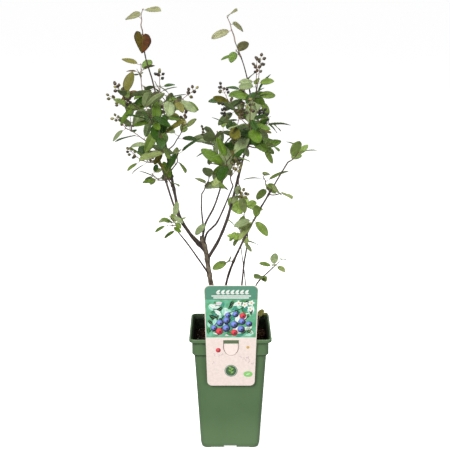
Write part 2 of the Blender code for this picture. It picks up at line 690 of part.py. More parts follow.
def berry_shape(foot, centre, swell=0.0):
    # A berry on its stalk as one closed shape, turned in four sides with its two rings set askew
    direction = (centre - foot).normalized()
    level, across = side_axes(direction)
    radius = berry_radius + swell
    thick = pedicel_radius + swell
    rings = [
        (foot, thick, 0.0), (centre - direction * radius * 0.98, thick, 0.0),
        (centre - direction * radius * 0.42, radius, 0.5), (centre + direction * radius * 0.42, radius, 0.0),
    ]
    points = []
    for middle, ring_radius, skew in rings:
        for side in range(berry_sides):
            angle = 2 * math.pi * (side + skew) / berry_sides
            points.append(middle + (level * math.cos(angle) + across * math.sin(angle)) * ring_radius)
    points.append(centre + direction * radius)
    faces = [list(range(berry_sides))]
    for i in range(berry_sides):
        j = (i + 1) % berry_sides
        faces.append([i, j, j + berry_sides, i + berry_sides])
        low, middle, high = berry_sides, berry_sides * 2, berry_sides * 3
        faces += [[low + i, low + j, middle + i], [low + i, middle + i, middle + (i - 1) % berry_sides]]
        faces += [[middle + i, high + i, high + j], [middle + i, high + j, middle + j]]
        faces.append([high + i, high + j, high + berry_sides])
    return points, faces


def obstacle(shape):
    # A tree for overlap tests with the box that holds it
    points, faces = shape
    low = Vector([min(point[axis] for point in points) for axis in range(3)])
    high = Vector([max(point[axis] for point in points) for axis in range(3)])
    return BVHTree.FromPolygons(points, faces), low, high


def touches(shape, obstacles):
    tree, low, high = obstacle(shape)
    for other, other_low, other_high in obstacles:
        if any(low[axis] > other_high[axis] or high[axis] < other_low[axis] for axis in range(3)):
            continue
        if tree.overlap(other):
            return True
    return False


def joined_shape(shapes):
    points = []
    faces = []
    for shape_points, shape_faces in shapes:
        first = len(points)
        points += shape_points
        faces += [[i + first for i in face] for face in shape_faces]
    return points, faces


def limb_start(limb, paths):
    if "foot" in limb:
        return Vector((*limb["foot"], soil_top + clearance))
    return path_point(paths[limb["on"]], limb["at"])[0]


def limb_path(limb, paths):
    # A smooth line from the start through the bends to the tip, in steps of even length
    knots = [limb_start(limb, paths)] + [Vector(point) for point in limb["via"]] + [Vector(limb["tip"])]
    fine = []
    for i in range(len(knots) - 1):
        start, end = knots[i], knots[i + 1]
        before = knots[i - 1] if i > 0 else start * 2 - end
        after = knots[i + 2] if i + 2 < len(knots) else end * 2 - start
        gap = (end - start).length
        leaving = (end - before) * (gap / ((end - start).length + (start - before).length))
        arriving = (after - start) * (gap / ((end - start).length + (after - end).length))
        for step in range(smooth_steps):
            u = step / smooth_steps
            fine.append(
                start * (2 * u ** 3 - 3 * u ** 2 + 1) + leaving * (u ** 3 - 2 * u ** 2 + u)
                + end * (3 * u ** 2 - 2 * u ** 3) + arriving * (u ** 3 - u ** 2)
            )
    fine.append(knots[-1])
    return even_steps(fine, limb_rings)


def even_steps(points, count):
    # The same line with "count" points at even distances
    lengths = [0.0]
    for i in range(1, len(points)):
        lengths.append(lengths[-1] + (points[i] - points[i - 1]).length)
    steps = []
    place = 0
    for i in range(count):
        wanted = lengths[-1] * i / (count - 1)
        while place < len(points) - 2 and lengths[place + 1] < wanted:
            place += 1
        share = (wanted - lengths[place]) / (lengths[place + 1] - lengths[place])
        steps.append(points[place].lerp(points[place + 1], min(share, 1.0)))
    return steps


def limb_radii(name):
    # Even taper, with a flare over the lowest part of the trunk
    first, last = limbs[name]["radii"]
    radii = []
    for i in range(limb_rings):
        share = i / (limb_rings - 1)
        radius = first + (last - first) * share
        if name == "trunk":
            radius *= 1.0 + trunk_flare * math.exp(-share / flare_share)
        radii.append(radius)
    return radii


def limb_radius(name, share):
    radii = limb_radii(name)
    place = share * (limb_rings - 1)
    step = min(int(place), limb_rings - 2)
    return radii[step] + (radii[step + 1] - radii[step]) * (place - step)


def flat_foot(shape, sides):
    # The lowest ring of a limb that stands in the soil is level
    points, faces = shape
    for i in range(sides):
        points[i].z = soil_top + clearance
    return points, faces


def make_limbs():
    paths = {}
    for name, limb in limbs.items():
        paths[name] = limb_path(limb, paths)
        shape = tube_shape(paths[name], limb_radii(name), limb["sides"])
        if "foot" in limb:
            shape = flat_foot(shape, limb["sides"])
        thing = solid(name, shape, "trunk" if name == "trunk" else "bough")
        if name == "trunk":
            add_stub(thing, paths[name])
        if "on" in limb:
            cut_clear(thing, limb["on"], paths[limb["on"]])
        smooth(thing)
    return paths


def add_stub(trunk, path):
    # The pruned end of the old leader beside the fork
    tip, direction = path_point(path, 1.0)
    level, across = side_axes(direction)
    lean = (direction - level * 0.9).normalized()
    ends = (tip - direction * 0.004, tip + lean * stub_length)
    stub = solid("stub", tube_shape(ends, (stub_radius, stub_radius * 0.8), 7), "trunk")
    apply_boolean(trunk, "UNION", stub)
    bpy.data.objects.remove(stub, do_unlink=True)


def cut_clear(thing, carrier, path):
    # Trims a limb that starts inside its carrier, a clear gap away from the carrier's surface
    radii = [radius + clearance for radius in limb_radii(carrier)]
    points = list(path)
    points[-1] = points[-1] + (points[-1] - points[-2]).normalized() * clearance
    cutter = solid("cutter", tube_shape(points, radii, limbs[carrier]["sides"]), "bough")
    cutter.hide_render = True
    cutter.display_type = "WIRE"
    apply_boolean(thing, "DIFFERENCE", cutter)
    bpy.data.objects.remove(cutter, do_unlink=True)


def mass_stem(mass, paths):
    # The stem of a mass: it starts clear of the limb that carries it
    tip = Vector(mass["tip"])
    if "foot" in mass:
        start = Vector((*mass["foot"], soil_top + clearance))
    else:
        start, along = path_point(paths[mass["on"]], mass["at"])
        if mass["at"] >= 1.0:
            start = start + along * (clearance + stem_radii[0] * 0.3)
        else:
            direction = (tip - start).normalized()
            cosine = abs(direction.dot(along))
            sine = math.sqrt(1.0 - cosine * cosine)
            gap = limb_radius(mass["on"], mass["at"]) + clearance + stem_radii[0] * cosine
            start = start + direction * (gap / sine)
    path = bowed_path(start, tip, Vector(mass["bow"]), stem_rings)
    level, across = side_axes((tip - start).normalized())
    for i in range(1, stem_rings - 1):
        side = 1 if i % 2 else -1
        path[i] = path[i] + level * (side * stem_kink)
    return path


def turned(direction, azimuth, spread):
    # A direction that leaves another by the angle "spread", to the side "azimuth"
    level, across = side_axes(direction)
    outward = level * math.cos(azimuth) + across * math.sin(azimuth)
    return (direction * math.cos(spread) + outward * math.sin(spread)).normalized()


def grow_leaf(rng, carrier, share, azimuth, size, face):
    # One leaf with its stalk: blades lie nearly level, tip up or down a little and turn to the light
    start, along = path_point(carrier, share)
    direction = turned(along, azimuth, leaf_spread)
    direction.z = direction.z * leaf_flatness + rng.uniform(*leaf_pitch)
    direction.normalize()
    stalk = rng.uniform(*petiole_length)
    length = size * rng.uniform(1.0 - leaf_length_change, 1.0 + leaf_length_change)
    width = length * rng.uniform(*leaf_width_share)
    blade = (direction + Vector((0.0, 0.0, rng.uniform(*blade_pitch)))).normalized()
    level, upward = side_axes(blade)
    roll = rng.gauss(0.0, leaf_roll)
    to_light = light_side - blade * light_side.dot(blade)
    normal = (upward * math.cos(roll) + level * math.sin(roll) + to_light * face).normalized()
    return {
        "foot": start, "base": start + direction * stalk, "direction": blade,
        "normal": normal, "length": length, "width": width,
    }


def grow_raceme(rng, start, along):
    # A fruit stalk that turns upwards, with berries on short stalks all round it
    direction = (along + Vector((0.0, 0.0, raceme_lift))).normalized()
    tip = start + direction * rng.uniform(*raceme_length)
    count = rng.randint(*berry_count)
    azimuth = rng.uniform(0.0, 2 * math.pi)
    berries = []
    for i in range(count):
        share = 0.3 + 0.7 * i / (count - 1)
        azimuth += golden_angle
        spread = pedicel_spread if i < count - 1 else 0.15
        outward = turned(direction, azimuth, spread)
        reach = pedicel_length[0] + (pedicel_length[1] - pedicel_length[0]) * share
        foot = start.lerp(tip, share)
        berries.append([foot, foot + outward * reach * rng.uniform(0.85, 1.15)])
    return {"axis": [start, tip], "berries": berries}


def plan_mass(mass, stem):
    # Draws the whole spray from its seed, before anything is tested or skipped
    rng = random.Random(mass["seed"])
    azimuth = rng.uniform(0.0, 2 * math.pi)
    bare = mass["bare"]
    face = mass.get("face", 0.0)
    leaves = []
    for i in range(mass["leaves"]):
        azimuth += golden_angle + rng.uniform(-0.35, 0.35)
        share = bare + (1.0 - bare) * (i + 1) / mass["leaves"]
        size = mass["leaf"] * (1.08 - 0.25 * share)
        leaves.append(grow_leaf(rng, stem, share, azimuth, size, face))
    sides = []
    side_count = mass["twigs"] + mass["racemes"]
    for i in range(side_count):
        azimuth += golden_angle + rng.uniform(-0.35, 0.35)
        share = bare * 0.8 + (1.0 - bare * 0.8) * (i + rng.uniform(0.3, 0.9)) / side_count
        start, along = path_point(stem, share)
        direction = turned(along, azimuth, twig_spread)
        direction.z += 0.2
        direction.normalize()
        tip = start + direction * rng.uniform(*twig_length)
        twig = {"path": [start, tip], "leaves": [], "raceme": None}
        fruiting = i < mass["racemes"]
        for j in range(1 if fruiting else twig_leaves):
            azimuth += golden_angle
            place = 0.4 if fruiting else 0.35 + 0.65 * j / (twig_leaves - 1)
            twig["leaves"].append(grow_leaf(rng, twig["path"], place, azimuth, mass["leaf"] * 0.85, face))
        if fruiting:
            twig["raceme"] = grow_raceme(rng, tip, direction)
        sides.append(twig)
    if mass["crest"]:
        before, end = stem[-2], stem[-1]
        crest = grow_raceme(rng, end, (end - before).normalized())
        sides.append({"path": [before.lerp(end, 0.7), end], "leaves": [], "raceme": crest})
    return {"leaves": leaves, "sides": sides}


def inside_space(point, stem):
    # A mass keeps to the space within one radius of its stem
    low = stem[0]
    line = stem[-1] - low
    share = min(max((point - low).dot(line) / line.length_squared, 0.0), 1.0)
    return (point - low - line * share).length < space_radius


def keep_leaf(leaf, stem, others, own):
    tip = leaf["base"] + leaf["direction"] * leaf["length"]
    if not inside_space(tip, stem):
        return False
    if touches(leaf_shape(leaf, leaf_clearance), others):
        return False
    clear_of_twig = dict(leaf, foot=leaf["foot"].lerp(leaf["base"], 0.5))
    return not touches(leaf_shape(clear_of_twig, leaf_clearance), own)


def grow_mass(mass, stem, others):
    # Keeps the parts of the plan that touch no other node and no leaf of their own mass
    plan = plan_mass(mass, stem)
    shapes = [tube_shape(stem, stem_radii, 3)]
    if "foot" in mass:
        shapes[0] = flat_foot(shapes[0], 3)
    own = [obstacle(shapes[0])]
    twigs = []
    for twig in plan["sides"]:
        thick = tube_shape(twig["path"], twig_radii, 3, leaf_clearance)
        if not touches(thick, others) and inside_space(twig["path"][-1], stem):
            shapes.append(tube_shape(twig["path"], twig_radii, 3))
            own.append(obstacle(shapes[-1]))
            twigs.append(twig)
    for twig in twigs:
        raceme = twig["raceme"]
        if raceme is None or touches(tube_shape(raceme["axis"], raceme_radii, 3, leaf_clearance), others):
            continue
        shapes.append(tube_shape(raceme["axis"], raceme_radii, 3))
        berries = []
        for foot, centre in raceme["berries"]:
            outer_foot = foot.lerp(centre, 0.3)
            if touches(berry_shape(foot, centre, leaf_clearance), others):
                continue
            if touches(berry_shape(outer_foot, centre, leaf_clearance), own + berries):
                continue
            shapes.append(berry_shape(foot, centre))
            berries.append(obstacle(shapes[-1]))
        own += berries
        own.append(obstacle(tube_shape(raceme["axis"], raceme_radii, 3)))
    for leaf in plan["leaves"] + [leaf for twig in twigs for leaf in twig["leaves"]]:
        if keep_leaf(leaf, stem, others, own):
            shapes.append(leaf_shape(leaf))
            own.append(obstacle(shapes[-1]))
    return shapes


def fuse_mass(name, shapes):
    # Joins the stem, twigs, leaves and berries of one mass into one solid
    pieces = bpy.data.collections.new(name + "_pieces")
    bpy.context.scene.collection.children.link(pieces)
    for shape in shapes[1:]:
        piece = solid("piece", shape, "foliage")
        bpy.context.scene.collection.objects.unlink(piece)
        pieces.objects.link(piece)
    mass = solid(name, shapes[0], "foliage")
    apply_boolean(mass, "UNION", collection=pieces)
    for piece in list(pieces.objects):
        bpy.data.objects.remove(piece, do_unlink=True)
    bpy.data.collections.remove(pieces)
    smooth(mass, math.radians(60))


def make_masses(paths):
    solids = []
    for thing in bpy.data.objects:
        points = [vert.co.copy() for vert in thing.data.vertices]
        solids.append(obstacle((points, [list(face.vertices) for face in thing.data.polygons])))
    stems = {name: mass_stem(mass, paths) for name, mass in masses.items()}
    grown = {}
    for name, mass in masses.items():
        other_stems = [
            obstacle(tube_shape(stem, stem_radii, 3)) for other, stem in stems.items() if other != name
        ]
        other_masses = [obstacle(joined_shape(shapes)) for shapes in grown.values()]
        grown[name] = grow_mass(mass, stems[name], solids + other_stems + other_masses)
    for name, shapes in grown.items():
        fuse_mass(name, shapes)


def main():
    clear_scene()
    make_pot()
    make_soil()
    make_label()
    paths = make_limbs()
    make_masses(paths)


main()
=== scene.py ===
import bpy, math, random
import numpy as np
from mathutils import Matrix, Vector
from mathutils.bvhtree import BVHTree
from mathutils.geometry import tessellate_polygon
from mathutils.kdtree import KDTree


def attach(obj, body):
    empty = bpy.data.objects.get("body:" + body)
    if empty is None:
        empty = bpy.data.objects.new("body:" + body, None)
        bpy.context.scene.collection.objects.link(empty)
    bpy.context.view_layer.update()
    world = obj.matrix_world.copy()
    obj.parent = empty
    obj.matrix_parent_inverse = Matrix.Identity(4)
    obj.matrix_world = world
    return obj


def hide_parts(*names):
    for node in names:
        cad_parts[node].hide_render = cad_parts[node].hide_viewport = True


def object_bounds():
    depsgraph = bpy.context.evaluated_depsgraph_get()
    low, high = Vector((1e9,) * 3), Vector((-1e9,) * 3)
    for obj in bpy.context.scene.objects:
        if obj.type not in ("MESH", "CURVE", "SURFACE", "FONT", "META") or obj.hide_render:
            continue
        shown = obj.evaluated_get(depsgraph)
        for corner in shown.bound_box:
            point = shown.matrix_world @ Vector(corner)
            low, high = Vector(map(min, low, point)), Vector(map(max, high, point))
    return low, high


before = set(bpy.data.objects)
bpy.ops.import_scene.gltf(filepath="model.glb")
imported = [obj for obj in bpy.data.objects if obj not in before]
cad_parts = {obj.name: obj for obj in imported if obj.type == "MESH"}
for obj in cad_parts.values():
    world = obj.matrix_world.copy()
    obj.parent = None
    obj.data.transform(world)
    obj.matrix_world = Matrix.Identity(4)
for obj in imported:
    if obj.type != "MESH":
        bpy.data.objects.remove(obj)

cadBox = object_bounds()
print("frame loaded with", len(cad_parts), "nodes")

# small helpers for meshes

# large numbers that scatter a place, a seed and the two together
noiseFactors = {"place": (73856093, 19349663, 83492791), "seed": 26544357, "both": 1274126177}


def softNoise(points, size, seed):
    # smooth values from -1 to 1 that change over about "size" metres
    cell = np.asarray(points, dtype=float) / size
    base = np.floor(cell).astype(np.int64)
    part = cell - base
    part = part * part * (3.0 - 2.0 * part)
    total = np.zeros(len(cell))
    for corner in range(8):
        step = np.array([corner & 1, (corner >> 1) & 1, (corner >> 2) & 1])
        spot = base + step
        x, y, z = (spot[:, axis] * noiseFactors["place"][axis] for axis in range(3))
        mixed = x ^ y ^ z ^ (seed * noiseFactors["seed"])
        mixed = ((mixed ^ (mixed >> 13)) * noiseFactors["both"]) & 0x7FFFFFFF
        value = ((mixed ^ (mixed >> 15)) & 0xFFFF) / 32767.5 - 1.0
        total += value * np.prod(np.where(step, part, 1.0 - part), axis=1)
    return total


def up(height):
    return Vector((0.0, 0.0, height))


def addObject(name, data):
    thing = bpy.data.objects.new(name, data)
    bpy.context.scene.collection.objects.link(thing)
    return thing


def newHeap():
    return {"points": [], "maps": [], "faces": [], "slots": [], "count": 0}


def addShape(heap, points, faces, slot=0, maps=None):
    # faces is a list of arrays, each with 3 or 4 corners a face, and slot is one number or a list
    # with one for each array
    points = np.asarray(points, dtype=float)
    slots = slot if isinstance(slot, list) else [slot] * len(faces)
    for part, partSlot in zip(faces, slots):
        part = np.asarray(part, dtype=np.int64)
        heap["faces"].append(part + heap["count"])
        heap["slots"].append(np.full(len(part), partSlot, dtype=np.int32))
    heap["points"].append(points)
    heap["maps"].append(np.zeros((len(points), 2)) if maps is None else np.asarray(maps, dtype=float))
    heap["count"] += len(points)


def buildMesh(name, heap, materials, sharpAngle=None):
    points = np.concatenate(heap["points"])
    maps = np.concatenate(heap["maps"])
    sizes = np.concatenate([np.full(len(part), part.shape[1]) for part in heap["faces"]])
    corners = np.concatenate([part.ravel() for part in heap["faces"]])
    mesh = bpy.data.meshes.new(name)
    mesh.vertices.add(len(points))
    mesh.vertices.foreach_set("co", points.astype(np.float32).ravel())
    mesh.loops.add(len(corners))
    mesh.loops.foreach_set("vertex_index", corners.astype(np.int32))
    mesh.polygons.add(len(sizes))
    mesh.polygons.foreach_set("loop_start", (np.cumsum(sizes) - sizes).astype(np.int32))
    mesh.polygons.foreach_set("material_index", np.concatenate(heap["slots"]))
    layer = mesh.uv_layers.new(name="surfaceMap")
    layer.data.foreach_set("uv", maps[corners].astype(np.float32).ravel())
    mesh.update(calc_edges=True)
    mesh.validate()
    for material in materials:
        mesh.materials.append(material)
    mesh.shade_smooth()
    if sharpAngle is not None:
        mesh.set_sharp_from_angle(angle=math.radians(sharpAngle))
    return addObject(name, mesh)


def place(thing, nodes):
    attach(thing, "root")
    if nodes:
        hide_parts(*nodes)
    return thing


def sideAxes(direction):
    level = direction.cross(up(1.0))
    if level.length < 0.05:
        level = direction.cross(Vector((1.0, 0.0, 0.0)))
    level.normalize()
    return level, level.cross(direction).normalized()


def smoothLine(points, count):
    # a smooth curve through a few points, in steps of even length
    knots = [Vector(point) for point in points]
    fine = []
    for i in range(len(knots) - 1):
        start, end = knots[i], knots[i + 1]
        before = knots[i - 1] if i > 0 else start * 2 - end
        after = knots[i + 2] if i + 2 < len(knots) else end * 2 - start
        gap = (end - start).length
        leaving = (end - before) * (gap / ((end - start).length + (start - before).length))
        arriving = (after - start) * (gap / ((end - start).length + (after - end).length))
        for step in range(12):
            u = step / 12
            fine.append(
                start * (2 * u ** 3 - 3 * u ** 2 + 1) + leaving * (u ** 3 - 2 * u ** 2 + u)
                + end * (3 * u ** 2 - 2 * u ** 3) + arriving * (u ** 3 - u ** 2)
            )
    fine.append(knots[-1])
    return evenSteps(fine, count)


def evenSteps(points, count):
    lengths = [0.0]
    for i in range(1, len(points)):
        lengths.append(lengths[-1] + (points[i] - points[i - 1]).length)
    steps = []
    spot = 0
    for i in range(count):
        wanted = lengths[-1] * i / (count - 1)
        while spot < len(points) - 2 and lengths[spot + 1] < wanted:
            spot += 1
        share = (wanted - lengths[spot]) / (lengths[spot + 1] - lengths[spot])
        steps.append(points[spot].lerp(points[spot + 1], min(share, 1.0)))
    return steps


def ringFaces(rings, sides):
    # the wall of a stack of rings, then both ends, which close on the two points after the rings
    level, side = np.meshgrid(np.arange(rings - 1), np.arange(sides), indexing="ij")
    near = level * sides + side
    far = level * sides + (side + 1) % sides
    quads = np.stack([near, far, far + sides, near + sides], axis=-1).reshape(-1, 4)
    side = np.arange(sides)
    after = (side + 1) % sides
    top = (rings - 1) * sides
    middle = np.full(sides, rings * sides)
    first = np.stack([after, side, middle], axis=-1)
    last = np.stack([side + top, after + top, middle + 1], axis=-1)
    return [quads, np.concatenate([first, last])]


def gridFaces(rows, columns):
    row, column = np.meshgrid(np.arange(rows - 1), np.arange(columns - 1), indexing="ij")
    near = (row * columns + column).ravel()
    return np.stack([near, near + columns, near + columns + 1, near + 1], axis=-1)


def tube(path, radii, sides, relief=0.0):
    # a closed round tube: relief can be an array of radius changes, one for each ring and side
    points = np.array([tuple(point) for point in path])
    ways = np.gradient(points, axis=0)
    ways /= np.linalg.norm(ways, axis=1)[:, None]
    level = np.array(sideAxes(Vector(ways[0]))[0])
    angles = 2 * np.pi * np.arange(sides) / sides
    sizes = np.asarray(radii, dtype=float)[:, None] + relief
    rings = np.empty((len(points), sides, 3))
    for i, (point, way) in enumerate(zip(points, ways)):
        level = level - way * level.dot(way)
        level /= np.linalg.norm(level)
        across = np.cross(way, level)
        out = np.outer(np.cos(angles), level) + np.outer(np.sin(angles), across)
        rings[i] = point + out * sizes[i][:, None]
    ends = [points[0] - ways[0] * radii[0] * 0.3, points[-1] + ways[-1] * radii[-1] * 0.6]
    return np.concatenate([rings.reshape(-1, 3), ends]), ringFaces(len(points), sides)


# shader helpers, and the node groups that several materials share


def feedSocket(tree, socket, value):
    # a socket takes a number, a place, a colour or another socket
    if isinstance(value, bpy.types.NodeSocket):
        tree.links.new(value, socket)
    else:
        socket.default_value = (*value, 1.0) if socket.type == "RGBA" else value


def feed(tree, node, **inputs):
    for name, value in inputs.items():
        feedSocket(tree, node.inputs[name.replace("_", " ")], value)


def addNode(tree, kind, settings=None, **inputs):
    node = tree.nodes.new(kind)
    for name, value in (settings or {}).items():
        setattr(node, name, value)
    feed(tree, node, **inputs)
    return node


def calc(tree, operation, *values):
    node = addNode(tree, "ShaderNodeMath", {"operation": operation})
    for socket, value in zip(node.inputs, values):
        feedSocket(tree, socket, value)
    return node.outputs[0]


def ramp(tree, value, low, high, toLow=0.0, toHigh=1.0):
    node = addNode(tree, "ShaderNodeMapRange", {"interpolation_type": "SMOOTHSTEP"}, Value=value,
                   From_Min=low, From_Max=high, To_Min=toLow, To_Max=toHigh)
    return node.outputs["Result"]


def separate(tree, vector):
    return addNode(tree, "ShaderNodeSeparateXYZ", Vector=vector).outputs


def blend(tree, mask, low, high):
    # colours or sockets, mixed by a mask
    node = addNode(tree, "ShaderNodeMix", {"data_type": "RGBA"}, Factor=mask)
    feedSocket(tree, node.inputs[6], low)
    feedSocket(tree, node.inputs[7], high)
    return node.outputs[2]


def bump(tree, height, depth, strength):
    return addNode(tree, "ShaderNodeBump", Strength=strength, Distance=depth, Height=height).outputs["Normal"]


def paint(*eye):
    # a colour by its eye values from 0 to 255, as light
    return tuple(((part / 255 + 0.055) / 1.055) ** 2.4 if part > 10 else part / 3295 for part in eye)


def shade(colour, factor):
    return tuple(min(1.0, part * factor) for part in colour)


def clouded(tree, mask, colour, low, high):
    return blend(tree, mask, shade(colour, low), shade(colour, high))


def newGroup(name, numbers, results=("Mask",)):
    # a group reads a vector and some numbers
    group = bpy.data.node_groups.new(name, "ShaderNodeTree")
    group.interface.new_socket(name="Vector", in_out="INPUT", socket_type="NodeSocketVector")
    for socketName, value in numbers.items():
        socket = group.interface.new_socket(name=socketName, in_out="INPUT", socket_type="NodeSocketFloat")
        socket.default_value = value
    for socketName in results:
        group.interface.new_socket(name=socketName, in_out="OUTPUT", socket_type="NodeSocketFloat")
    return group, group.nodes.new("NodeGroupInput").outputs, group.nodes.new("NodeGroupOutput")


def noiseValue(tree, vector, scale, detail, **inputs):
    node = addNode(tree, "ShaderNodeTexNoise", Vector=vector, Scale=scale, Detail=detail, **inputs)
    return node.outputs["Fac"]


def makeBlotchGroup():
    # cloudy patches
    group, given, result = newGroup("blotches", {"Scale": 60.0})
    noise = noiseValue(group, given["Vector"], given["Scale"], 5.0, Roughness=0.6)
    feed(group, result, Mask=ramp(group, noise, 0.3, 0.7))
    return group


def makeFleckGroup():
    # small sparse specks
    group, given, result = newGroup("flecks", {"Scale": 400.0, "Amount": 0.2})
    cells = addNode(group, "ShaderNodeTexVoronoi", Vector=given["Vector"], Scale=given["Scale"])
    noise = noiseValue(group, given["Vector"], calc(group, "MULTIPLY", given["Scale"], 0.4), 2.0)
    reach = calc(group, "MULTIPLY", given["Amount"], noise)
    inside = calc(group, "SUBTRACT", reach, cells.outputs["Distance"])
    feed(group, result, Mask=ramp(group, inside, -0.02, 0.04))
    return group


def makeSkinGroup():
    # fine pitted surface of moulded plastic, wax or dry wood, as a height
    group, given, result = newGroup("fineSkin", {"Scale": 900.0}, ["Height"])
    fine = noiseValue(group, given["Vector"], given["Scale"], 3.0, Roughness=0.7)
    wide = noiseValue(group, given["Vector"], calc(group, "MULTIPLY", given["Scale"], 0.08), 1.0)
    feed(group, result, Height=calc(group, "MULTIPLY_ADD", wide, 1.5, fine))
    return group


def makeStreakGroup():
    # stripes along the length of bark, from the surface map: across is x and along is y
    group, given, result = newGroup("barkStreaks", {"Scale": 8.0, "Stretch": 0.12})
    chart = separate(group, given["Vector"])
    along = calc(group, "MULTIPLY", chart["Y"], given["Stretch"])
    stretched = addNode(group, "ShaderNodeCombineXYZ", X=chart["X"], Y=along).outputs[0]
    noise = noiseValue(group, stretched, given["Scale"], 6.0, Roughness=0.65, Distortion=0.4)
    feed(group, result, Mask=ramp(group, noise, 0.38, 0.66))
    return group


def fromMidrib(tree, across):
    # 0 at the midrib and 1 at both edges
    return calc(tree, "ABSOLUTE", calc(tree, "MULTIPLY_ADD", across, 2.0, -1.0))


def makeVeinGroup():
    # midrib, curved side veins and a fine net between them, from the leaf's own map
    group, given, result = newGroup("leafVeins", {"Pairs": 8.0}, ["Veins", "Height"])
    chart = separate(group, given["Vector"])
    out = fromMidrib(group, chart["X"])
    rise = calc(group, "MULTIPLY", calc(group, "POWER", out, 0.8), 1.7)
    order = calc(group, "SUBTRACT", calc(group, "MULTIPLY", chart["Y"], given["Pairs"]), rise)
    sideVein = ramp(group, calc(group, "PINGPONG", order, 0.5), 0.0, 0.085, 1.0, 0.0)
    fading = ramp(group, out, 0.55, 1.0, 1.0, 0.25)
    midrib = ramp(group, out, 0.015, 0.07, 1.0, 0.0)
    cells = addNode(group, "ShaderNodeTexVoronoi", {"feature": "DISTANCE_TO_EDGE"}, Vector=given["Vector"],
                    Scale=26.0)
    net = ramp(group, cells.outputs["Distance"], 0.0, 0.14, 1.0, 0.0)
    veins = calc(group, "MAXIMUM", calc(group, "MULTIPLY", sideVein, fading), midrib)
    height = calc(group, "MULTIPLY_ADD", net, -0.25, calc(group, "MULTIPLY", veins, -1.0))
    feed(group, result, Veins=veins, Height=height)
    return group


blotchGroup = makeBlotchGroup()
fleckGroup = makeFleckGroup()
skinGroup = makeSkinGroup()
streakGroup = makeStreakGroup()
veinGroup = makeVeinGroup()


def pattern(tree, group, vector, **inputs):
    return addNode(tree, "ShaderNodeGroup", {"node_tree": group}, Vector=vector, **inputs).outputs[0]


def surfaceMap(tree):
    return addNode(tree, "ShaderNodeUVMap", {"uv_map": "surfaceMap"}).outputs["UV"]


def startMaterial(name, colour, roughness):
    # a plain material, and the object's own place for what is laid over it
    material = bpy.data.materials.new(name)
    material.use_nodes = True
    material.diffuse_color = (*colour, 1.0)
    tree = material.node_tree
    shader = tree.nodes["Principled BSDF"]
    feed(tree, shader, Base_Color=colour, Roughness=roughness)
    return material, tree, shader, tree.nodes.new("ShaderNodeTexCoord").outputs["Object"]


print("shader groups made")

# camera, floor and light

cameraPlace = {"x": -0.0087, "distance": 1.60, "height": 0.764, "pitch": 13.86, "lens": 81.38}
stageLook = {"floorSize": 90.0, "floorColour": (0.80, 0.80, 0.80), "floorGlow": 0.70, "skyLight": 0.36}
softBoxes = {
    "keyLight": {"place": (-1.1, -1.8, 1.9), "size": 1.1, "power": 68.0},
    "fillLight": {"place": (1.8, -1.6, 0.9), "size": 1.6, "power": 24.0},
    "topLight": {"place": (0.2, 0.4, 2.3), "size": 1.4, "power": 34.0},
}


def makeCamera():
    data = bpy.data.cameras.new("photoCamera")
    data.lens = cameraPlace["lens"]
    data.sensor_width = 36.0
    data.clip_start = 0.05
    camera = addObject("photoCamera", data)
    camera.location = (cameraPlace["x"], -cameraPlace["distance"], cameraPlace["height"])
    camera.rotation_euler = (math.radians(90.0 - cameraPlace["pitch"]), 0.0, 0.0)
    bpy.context.scene.camera = camera


def makeStage():
    half = stageLook["floorSize"] / 2
    mesh = bpy.data.meshes.new("studioFloor")
    corners = [(x * half, y * half, -0.0002) for x, y in ((-1, -1), (1, -1), (1, 1), (-1, 1))]
    mesh.from_pydata(corners, [], [(0, 1, 2, 3)])
    floor = addObject("studioFloor", mesh)
    paper = bpy.data.materials.new("studioPaper")
    paper.use_nodes = True
    feed(paper.node_tree, paper.node_tree.nodes["Principled BSDF"], Base_Color=stageLook["floorColour"],
         Roughness=0.9, Specular_IOR_Level=0.1, Emission_Color=(1.0, 1.0, 1.0),
         Emission_Strength=stageLook["floorGlow"])
    mesh.materials.append(paper)
    floor.visible_diffuse = False  # lit from below like a light table, without lighting the plant
    floor.visible_glossy = False


def makeLights():
    scene = bpy.context.scene
    scene.view_settings.view_transform = "Standard"
    scene.world = bpy.data.worlds.new("studioWhite")
    scene.world.use_nodes = True
    tree = scene.world.node_tree
    seen = tree.nodes.new("ShaderNodeLightPath")
    strength = addNode(tree, "ShaderNodeMapRange", Value=seen.outputs["Is Camera Ray"],
                       To_Min=stageLook["skyLight"], To_Max=1.0)
    feed(tree, tree.nodes["Background"], Color=(1.0, 1.0, 1.0), Strength=strength.outputs["Result"])
    for name, box in softBoxes.items():
        data = bpy.data.lights.new(name, "AREA")
        data.shape = "DISK"
        data.size = box["size"]
        data.energy = box["power"]
        lamp = addObject(name, data)
        lamp.location = box["place"]
        aim = up(0.38) - Vector(box["place"])
        lamp.rotation_euler = aim.to_track_quat("-Z", "Y").to_euler()


makeCamera()
makeStage()
makeLights()
print("camera, floor and lights stand")

# pot

